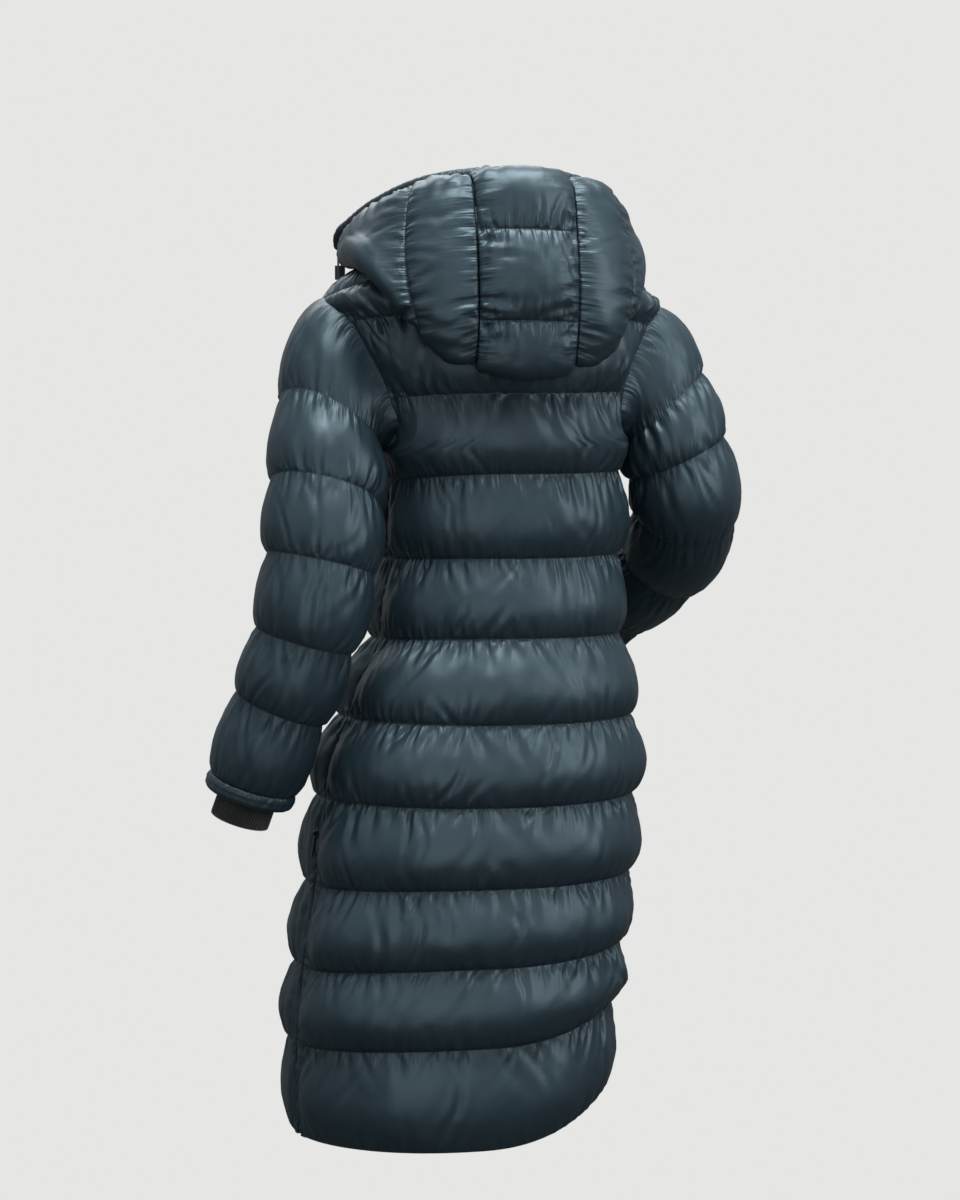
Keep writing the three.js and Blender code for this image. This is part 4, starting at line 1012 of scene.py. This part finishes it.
def build_hood():
    cross = [0, 2, 4, UNDER_LEVEL]
    steps = channel_steps(HOOD_CHANNEL_ROWS)
    under = np.linspace(UNDER_LEVEL, HOOD_LAST, HOOD_UNDER_ROWS)
    levels = np.concatenate([seam + 2 * steps for seam in cross[:-1]] + [under])

    def centre_puff(level, across):
        share = level / 2 - np.floor(level / 2)
        return np.where(level < UNDER_LEVEL, HOOD_PUFF * bump(share) * bump(across), 0)

    def side_puff(level, across):
        rear = across / HOOD_FLANK_SEAM
        fore = (across - HOOD_FLANK_SEAM) / (1 - HOOD_FLANK_SEAM)
        return HOOD_PUFF * bump(np.where(across < HOOD_FLANK_SEAM, rear, fore)) * bump(level / UNDER_LEVEL)

    def eased(count):
        return crowded(np.linspace(0, 1, count), HOOD_EASE)

    def spans(start, end, places):
        return np.array([start(level) + (end(level) - start(level)) * places for level in levels])

    half = HOOD_CENTRE_HALF
    gap = half + HOOD_SEAM_GAP
    centre = spans(
        lambda level: share_at_x(level, -half), lambda level: share_at_x(level, half), eased(CENTRE_COLUMNS),
    )
    rear = HOOD_FLANK_SEAM * eased(REAR_COLUMNS)[:-1]
    flank = HOOD_FLANK_SEAM + (1 - HOOD_FLANK_SEAM) * eased(FLANK_COLUMNS)
    side = np.concatenate([rear, flank])
    hood_panel("padded_hood_center", ["hood_center"], levels, centre, cross, [0, 1], centre_puff, 6000)
    left = spans(lambda level: share_at_x(level, gap), lambda level: 1.0, side)
    right = spans(lambda level: 0.0, lambda level: share_at_x(level, -gap), (1 - side)[::-1])
    ends = [0, UNDER_LEVEL]
    at = np.linspace(0, 1, len(side))

    def left_puff(level, across):
        return side_puff(level, np.interp(across, at, side))

    def right_puff(level, across):
        return side_puff(level, np.interp(1 - across, at, side))

    seams = [0, float(at[REAR_COLUMNS - 1]), 1]
    hood_panel("padded_hood_left", ["hood_side_left"], levels, left, ends, seams, left_puff, 6100)
    mirrored = [1 - seam for seam in seams][::-1]
    hood_panel("padded_hood_right", ["hood_side_right"], levels, right, ends, mirrored, right_puff, 6200)


def build_collar():
    start = zip_angle(TOP_LEVEL, 1, ZIP_HALF_GAP) - 2 * np.pi
    end = zip_angle(TOP_LEVEL, -1, ZIP_HALF_GAP)
    angle = np.linspace(float(start), float(end), COLLAR_COLUMNS)
    heights = np.linspace(0, 1, COLLAR_ROWS)
    foot = body_inside(TOP_LEVEL, angle)
    foot += unit(foot - body_inside(TOP_LEVEL - 0.05, angle)) * COLLAR_GAP
    to_front = np.abs(angle - np.pi / 2) / np.pi
    parted = np.pi / 2 + (angle - np.pi / 2) * (1 - COLLAR_PART * to_front**3 / np.pi)
    c, s = np.cos(parted), np.sin(parted)
    head = stack(
        spread(c) * COLLAR["wide"],
        spread(s) * np.where(s > 0, COLLAR["back"], COLLAR["front"]),
        COLLAR["sideZ"] * c * c + np.where(s > 0, COLLAR["backZ"], COLLAR["foreZ"]) * s * s,
    )
    base = foot[None] + (head - foot)[None] * heights[:, None, None]
    normals = open_normals(base)
    normals[0] = body_normal(TOP_LEVEL, angle)
    across = lengths(base, 1)
    down = lengths(base, 0)
    from_low = down
    from_high = down[-1:] - down
    crease = gathers(across, from_low, 6300, False, *COLLAR_EDGE)
    crease += gathers(across, from_high, 6301, False, *COLLAR_EDGE)
    lift = WALL + COLLAR_PUFF * bump(heights)[:, None] * bump(np.linspace(0, 1, len(angle)))[None]
    lift = lift + crease * over_padding(lift - WALL, 5, 0)
    outer = base + normals * lift[..., None]
    inner = base[::5, ::6]
    piece = wall_object("padded_collar", outer, inner, SHELL, across, np.minimum(from_low, from_high))
    settle(piece, ["collar"])


def rim_frames(share):
    edge = hood_line(0, share)
    behind = hood_line(0.4, share)
    along = unit(hood_line(0, np.minimum(share + 1e-4, 1)) - hood_line(0, np.maximum(share - 1e-4, 0)))
    forward = unit(edge - behind)
    forward = unit(forward - along * (forward * along).sum(-1, keepdims=True))
    upward = unit(np.cross(forward, along))
    upward = np.where(upward[..., 2:] < 0, -upward, upward)
    middle = edge + forward * (RIM_DEEP + RIM_GAP) + upward * HOOD_WALL / 2
    return middle, forward, upward, along


def rim_tip(side, reach, drop):
    middle, forward, upward, along = rim_frames(np.array([1.0 if side > 0 else 0.0]))
    return middle[0] + along[0] * side * reach - np.array([0, 0, drop]), forward[0], upward[0]


def build_rim():
    """Padded roll round the hood's opening, drawn out to a tip at each end."""
    middle, forward, upward, _ = rim_frames(np.linspace(0, 1, RIM_STATIONS))
    scale = np.ones(len(middle))
    for side in (1, -1):
        tips = [rim_tip(side, reach, drop) for reach, drop, _ in RIM_TIP]
        grow = [tip[2] for tip in RIM_TIP]
        fine = np.linspace(0, len(tips), TIP_STATIONS)[1:]
        stops = np.arange(len(tips) + 1)
        edge = -1 if side > 0 else 0
        line = np.array([middle[edge]] + [tip[0] for tip in tips])
        extra = np.stack([np.interp(fine, stops, line[:, axis]) for axis in range(3)], 1)
        sizes = np.interp(fine, stops, [1.0] + grow)
        ways = (np.repeat(forward[[edge]], len(fine), 0), np.repeat(upward[[edge]], len(fine), 0))
        if side > 0:
            middle = np.concatenate([middle, extra])
            forward = np.concatenate([forward, ways[0]])
            upward = np.concatenate([upward, ways[1]])
            scale = np.concatenate([scale, sizes])
        else:
            middle = np.concatenate([extra[::-1], middle])
            forward = np.concatenate([ways[0], forward])
            upward = np.concatenate([ways[1], upward])
            scale = np.concatenate([sizes[::-1], scale])
    turn = np.arange(RIM_AROUND) * 2 * np.pi / RIM_AROUND
    run = travelled(middle)
    run_grid = np.broadcast_to(run[:, None], (len(run), len(turn)))
    from_edge = np.broadcast_to((1 + np.cos(turn)) * RIM_REACH, run_grid.shape)
    crease = gathers(run_grid, from_edge, 6400, False, *RIM_EDGE)
    grow = (scale[:, None] + crease / RIM_TALL)[..., None]
    ring = (
        forward[:, None] * (RIM_DEEP * RIM_FORWARD * np.cos(turn))[None, :, None]
        + upward[:, None] * (RIM_TALL * RIM_UPWARD * np.sin(turn))[None, :, None]
    )
    points = (middle[:, None] + ring * grow).reshape(-1, 3)
    numbers = np.arange(len(points)).reshape(len(run), len(turn))
    faces = quads(numbers, True, False)
    ends = [list(map(int, numbers[0][::-1])), list(map(int, numbers[-1]))]
    attributes = {"along": run_grid.ravel(), "away": from_edge.ravel()}
    piece = mesh_object("padded_hood_rim", points, faces + ends, SHELL, attributes)
    settle(piece, ["hood_rim"])


# Cuffs

BAND_LENGTH = 18
BAND_AROUND = 168
BAND_ROWS = 22
BAND_RADIUS = 50
# Share of the band's length and how far its outside stands off there
BAND_SHAPE = ((0, 4), (0.15, 6.4), (0.35, 7.5), (0.75, 6.8), (0.93, 4.6), (1, 2.8))
RIB_WALL = 2.6
RIB_HIDDEN = 26
RIB_SHOWN = 30
RIB_DROP = 11
RIBS = 64
RIB_COLUMNS = 6
RIB_ROWS = 34
RIB_RADIUS = 36
RIB_HEIGHT = 0.55
RIB_END = 2.5


def build_cuff(label, rows, side):
    last = len(rows["x"]) - 1
    middle, before = (np.array([rows[key][at] for key in "xyz"]) for at in (last, last - 1))
    down = unit(middle - before)

    def rings(angle, travel, change):
        point = sleeve_inside(rows, side, last, angle)
        away = unit(point - middle)
        return point[None] + away[None] * change[..., None] + down * travel[:, None, None]

    order = slice(None, None, -1 if side > 0 else 1)
    angle = np.arange(BAND_AROUND) * 2 * np.pi / BAND_AROUND
    share = np.linspace(0, 1, BAND_ROWS)
    travel = SEAM_GAP + share * BAND_LENGTH
    lift = np.interp(share, *zip(*BAND_SHAPE))
    run = np.broadcast_to(angle * BAND_RADIUS, (BAND_ROWS, BAND_AROUND))
    from_top = np.broadcast_to((share * BAND_LENGTH)[:, None], run.shape)
    from_hem = BAND_LENGTH - from_top
    crease = gathers(run, from_top, 7000 + side, False, *BAND_TOP)
    crease += gathers(run, from_hem, 7010 + side, False, *BAND_HEM)
    crease *= smoothstep(np.minimum(run, run.max() - run), 0, 8)
    outer = rings(angle, travel, lift[:, None] + crease)[:, order]
    low = travel[::7]
    inner = rings(angle, low, np.zeros((len(low), BAND_AROUND)))[:, order][:, ::4]
    away = np.minimum(from_top, from_hem)
    piece = wall_object(
        f"padded_cuff_{label}", outer, inner, SHELL, run[:, order], away[:, order], is_tube=True,
    )
    settle(piece, [f"cuff_band_{label}"])

    angle = np.arange(RIBS * RIB_COLUMNS) * 2 * np.pi / (RIBS * RIB_COLUMNS)
    travel = np.linspace(-RIB_HIDDEN, RIB_SHOWN + BAND_LENGTH, RIB_ROWS)
    drop = RIB_DROP * np.clip((travel + RIB_HIDDEN) / RIB_HIDDEN, 0, 1)
    rib = RIB_HEIGHT * np.cos(RIBS * angle)[None] - 0.3
    end = smoothstep(travel[-1] - travel, 0, RIB_END)[:, None]
    lift = rib * end - SEAM_GAP - 0.5 - drop[:, None]
    outer = rings(angle, travel, lift)[:, order]
    low = -SEAM_GAP - RIB_WALL - drop[::3, None] + np.zeros((1, len(angle)))
    inner = rings(angle, travel[::3], low)[:, order][:, ::3]
    run = np.broadcast_to(angle * RIB_RADIUS, outer.shape[:2])
    below = np.broadcast_to((travel + RIB_HIDDEN)[:, None], outer.shape[:2])
    piece = wall_object(f"rib_knit_{label}", outer, inner, RIB, run[:, order], below, is_tube=True)
    settle(piece, [f"rib_cuff_{label}"])


# Stitches, cords and zip teeth

STITCH_PITCH = 4.2
# Length, breadth and height
STITCH_SIZE = (3.0, 0.7, 0.5)
STITCH_LIFT = 0.1
TOOTH_PITCH = 2.6
TOOTH_SIZE = (1.5, 2.9, 1.3)
TOOTH_FROM_MIDDLE = 1.3
TOOTH_LIFT = 2.8
# Share of a step along the zip by which one side's teeth fall between the other's
TOOTH_SHIFT = 0.6
SEAM_STATIONS = 160
SLEEVE_STATIONS = 140
ZIP_STATIONS = 400
# A bar's corners in shares of its length, breadth and height
CORNERS = (
    (-0.5, 0, 0), (-0.36, -0.5, 0), (0.36, -0.5, 0), (0.5, 0, 0), (0.36, 0.5, 0), (-0.36, 0.5, 0),
    (-0.26, 0, 1), (0.26, 0, 1),
)
CORNER_FACES = ((0, 1, 6), (1, 2, 7, 6), (2, 3, 7), (3, 4, 7), (4, 5, 6, 7), (5, 0, 6), (0, 5, 4, 3, 2, 1))


def read_line(line, run, stops):
    """A line's points at some distances from its start."""
    return np.stack([np.interp(stops, run, line[:, axis]) for axis in range(3)], 1)


def box_chain(name, lines, normals, size, pitch, material):
    """Small rounded bars laid along lines, such as stitches or zip teeth."""
    length, breadth, height = size
    points = []
    faces = []
    for line, normal in zip(lines, normals):
        run = travelled(line)
        stops = np.arange(pitch, run[-1] - pitch, pitch)
        at = read_line(line, run, stops)
        way = unit(read_line(line, run, stops + 0.5) - at)
        up = unit(read_line(normal, run, stops))
        side = unit(np.cross(way, up))
        for place, along, across, above in zip(at, way, side, up):
            first = len(points)
            for a, b, c in CORNERS:
                points.append(place + along * length * a + across * breadth * b + above * height * c)
            faces.extend([[first + v for v in face] for face in CORNER_FACES])
    settle(mesh_object(name, points, faces, material), [])


def build_stitches():
    lines = []
    ups = []
    for level in range(1, TOP_LEVEL):
        runs = [
            (edge_angle(level, 1, 1), edge_angle(level, -1, 1)),
            (zip_angle(level, 1, ZIP_HALF_GAP), edge_angle(level, 1, -1) + 2 * np.pi),
            (edge_angle(level, -1, -1), zip_angle(level, -1, ZIP_HALF_GAP)),
        ]
        for start, end in runs:
            angle = np.linspace(float(start) + NEAR, float(end) - NEAR, SEAM_STATIONS)
            lines.append(body_point(level, angle, np.full(SEAM_STATIONS, WALL + STITCH_LIFT)))
            ups.append(body_normal(level, angle))
    box_chain("quilting_stitches", lines, ups, STITCH_SIZE, STITCH_PITCH, THREAD)
    for label, rows, side in (("left", LEFT_SLEEVE, 1), ("right", RIGHT_SLEEVE, -1)):
        lines = []
        ups = []
        angle = np.linspace(0, 2 * np.pi, SLEEVE_STATIONS)
        for level in range(len(rows["x"]) - 1):
            ring = sleeve_inside(rows, side, level, angle)
            up = unit(ring - ring.mean(0))
            lines.append(ring + up * (WALL + STITCH_LIFT))
            ups.append(up)
        box_chain(f"sleeve_stitches_{label}", lines, ups, STITCH_SIZE, STITCH_PITCH, THREAD)


def build_teeth():
    level = np.linspace(ZIP_BOTTOM + 0.1, TOP_LEVEL - 0.05, ZIP_STATIONS)
    lines = []
    ups = []
    for side in (1, -1):
        angle = zip_angle(level, side, TOOTH_FROM_MIDDLE)
        lines.append(body_point(level, angle, np.full(ZIP_STATIONS, TOOTH_LIFT)))
        ups.append(body_normal(level, angle))
    lines[1] = lines[1] + (lines[1][1] - lines[1][0]) * TOOTH_SHIFT
    box_chain("front_zip_teeth", lines, ups, TOOTH_SIZE, TOOTH_PITCH, LOCK)


CORD_DIAMETER = 2.4
CORD_REACH = 11
# Half of a loop, down from the rim: out from its middle, then height
CORD_HALF = (
    (2.3, -1.4), (2.3, -10), (2.3, -19), (2.3, -28), (2.3, -37), (2.3, -46),
    (4.6, -53), (5.8, -59), (3.9, -64.4),
)
CORD_BOTTOM = (0, -66.4)


def build_cord(label, side):
    place, forward, _ = rim_tip(side, CORD_REACH, RIM_TIP[1][1])
    exit_point = place - forward * RIM_DEEP
    route = list(CORD_HALF) + [CORD_BOTTOM] + [(-x, z) for x, z in reversed(CORD_HALF)]
    points = [exit_point + np.array([x, 0, z]) for x, z in route]
    curve = bpy.data.curves.new(f"elastic_{label}", "CURVE")
    curve.dimensions = "3D"
    curve.bevel_depth = CORD_DIAMETER / 2 * MM
    curve.bevel_resolution = 3
    curve.use_fill_caps = True
    line = curve.splines.new("POLY")
    line.points.add(len(points) - 1)
    for spot, point in zip(line.points, points):
        spot.co = (*(point * MM), 1)
    curve.materials.append(CORD)
    cord = bpy.data.objects.new(f"elastic_{label}", curve)
    bpy.context.collection.objects.link(cord)
    settle(cord, [f"drawcord_{label}"])


def dress_cad_nodes():
    """Looks for the nodes that keep their own shape."""
    looks = {
        "zip_tape_left": TAPE, "zip_tape_right": TAPE,
        "vent_tape_back_left": TAPE, "vent_tape_front_left": TAPE,
        "vent_tape_back_right": TAPE, "vent_tape_front_right": TAPE,
        "cord_lock_left": LOCK, "cord_lock_right": LOCK,
        "zip_slider": METAL, "zip_pull": METAL,
        "vent_slider_left": METAL, "vent_pull_left": METAL,
        "vent_slider_right": METAL, "vent_pull_right": METAL,
    }
    for name, material in looks.items():
        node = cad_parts[name]
        node.data.materials.clear()
        node.data.materials.append(material)


build_hood()
build_collar()
build_rim()
build_cuff("left", LEFT_SLEEVE, 1)
build_cuff("right", RIGHT_SLEEVE, -1)
build_stitches()
build_teeth()
build_cord("left", 1)
build_cord("right", -1)
dress_cad_nodes()
build_body()
build_sleeve("left", LEFT_SLEEVE, 1, 4000)
build_sleeve("right", RIGHT_SLEEVE, -1, 5000)


# Light and surroundings

def add_light(name, place, target, size, power, color=(1, 1, 1)):
    data = bpy.data.lights.new(name, "AREA")
    data.shape = "RECTANGLE"
    data.size, data.size_y = size
    data.energy = power
    data.color = color
    light = bpy.data.objects.new(name, data)
    bpy.context.collection.objects.link(light)
    light.location = place
    light.rotation_euler = (Vector(place) - Vector(target)).to_track_quat("Z", "Y").to_euler()


BACKDROP = "e6e6e4"
FLOOR_HEIGHT = -1430
FLOOR_RADIUS = 4000
FLOOR_SIDES = 96


def add_floor():
    """Painted studio floor, lit as evenly as the backdrop that it runs into; see-through from below."""
    turn = np.arange(FLOOR_SIDES) * 2 * np.pi / FLOOR_SIDES
    rim = stack(np.cos(turn) * FLOOR_RADIUS, np.sin(turn) * FLOOR_RADIUS, np.full(FLOOR_SIDES, FLOOR_HEIGHT))
    material = bpy.data.materials.new("painted_studio_floor")
    material.use_nodes = True
    tree = material.node_tree
    tree.nodes.clear()
    paint = add_node(tree, "ShaderNodeEmission", {"Color": linear(BACKDROP), "Strength": 1})
    clear = add_node(tree, "ShaderNodeBsdfTransparent", {})
    facing = add_node(tree, "ShaderNodeNewGeometry", {})
    mix = add_node(tree, "ShaderNodeMixShader", {
        0: facing.outputs["Backfacing"], 1: paint.outputs[0], 2: clear.outputs[0],
    })
    add_node(tree, "ShaderNodeOutputMaterial", {"Surface": mix.outputs[0]})
    floor = mesh_object("studio_floor", rim, [tuple(range(FLOOR_SIDES))], material)
    floor.visible_diffuse = False
    floor.visible_glossy = False
    floor.visible_shadow = False


# Tone and strength of the light that the room gives from all sides, weaker from below
ROOM_LIGHT = "e5eaef"
ROOM_BELOW = 0.12
ROOM_ABOVE = 0.75
ROOM_TURN = -0.3


def set_world():
    """Even backdrop for the camera, and soft room light on the cloth."""
    world = bpy.data.worlds.new("studio")
    bpy.context.scene.world = world
    world.use_nodes = True
    tree = world.node_tree
    tree.nodes.clear()
    seen = add_node(tree, "ShaderNodeBackground", {"Color": linear(BACKDROP)})
    way = add_node(tree, "ShaderNodeTexCoord", {}).outputs["Generated"]
    split = add_node(tree, "ShaderNodeSeparateXYZ", {"Vector": way})
    strength = add_node(tree, "ShaderNodeMapRange", {
        "Value": split.outputs["Z"], "From Min": ROOM_TURN, "To Min": ROOM_BELOW, "To Max": ROOM_ABOVE,
    })
    lit = add_node(tree, "ShaderNodeBackground", {
        "Color": linear(ROOM_LIGHT), "Strength": strength.outputs["Result"],
    })
    ray = add_node(tree, "ShaderNodeLightPath", {}).outputs["Is Camera Ray"]
    mix = add_node(tree, "ShaderNodeMixShader", {0: ray, 1: lit.outputs[0], 2: seen.outputs[0]})
    add_node(tree, "ShaderNodeOutputWorld", {"Surface": mix.outputs[0]})


MIDDLE = (0, 0, -0.45)
LIGHT = (0.95, 0.99, 1)
set_world()
add_floor()
add_light("key", (-0.2, 0.9, 2.6), MIDDLE, (3.0, 1.4), 200, LIGHT)
add_light("camera_side", (0.6, 3.4, -0.3), MIDDLE, (2.4, 2.4), 28, LIGHT)
add_light("fill_left", (2.6, 1.2, 0.6), MIDDLE, (1.0, 2.4), 6, LIGHT)
add_light("fill_right", (-2.4, 2.2, 0.6), MIDDLE, (1.2, 2.0), 44, LIGHT)
add_light("front", (0.2, -2.0, 2.2), MIDDLE, (2.6, 1.8), 60, LIGHT)

bpy.context.scene.view_settings.view_transform = "Standard"
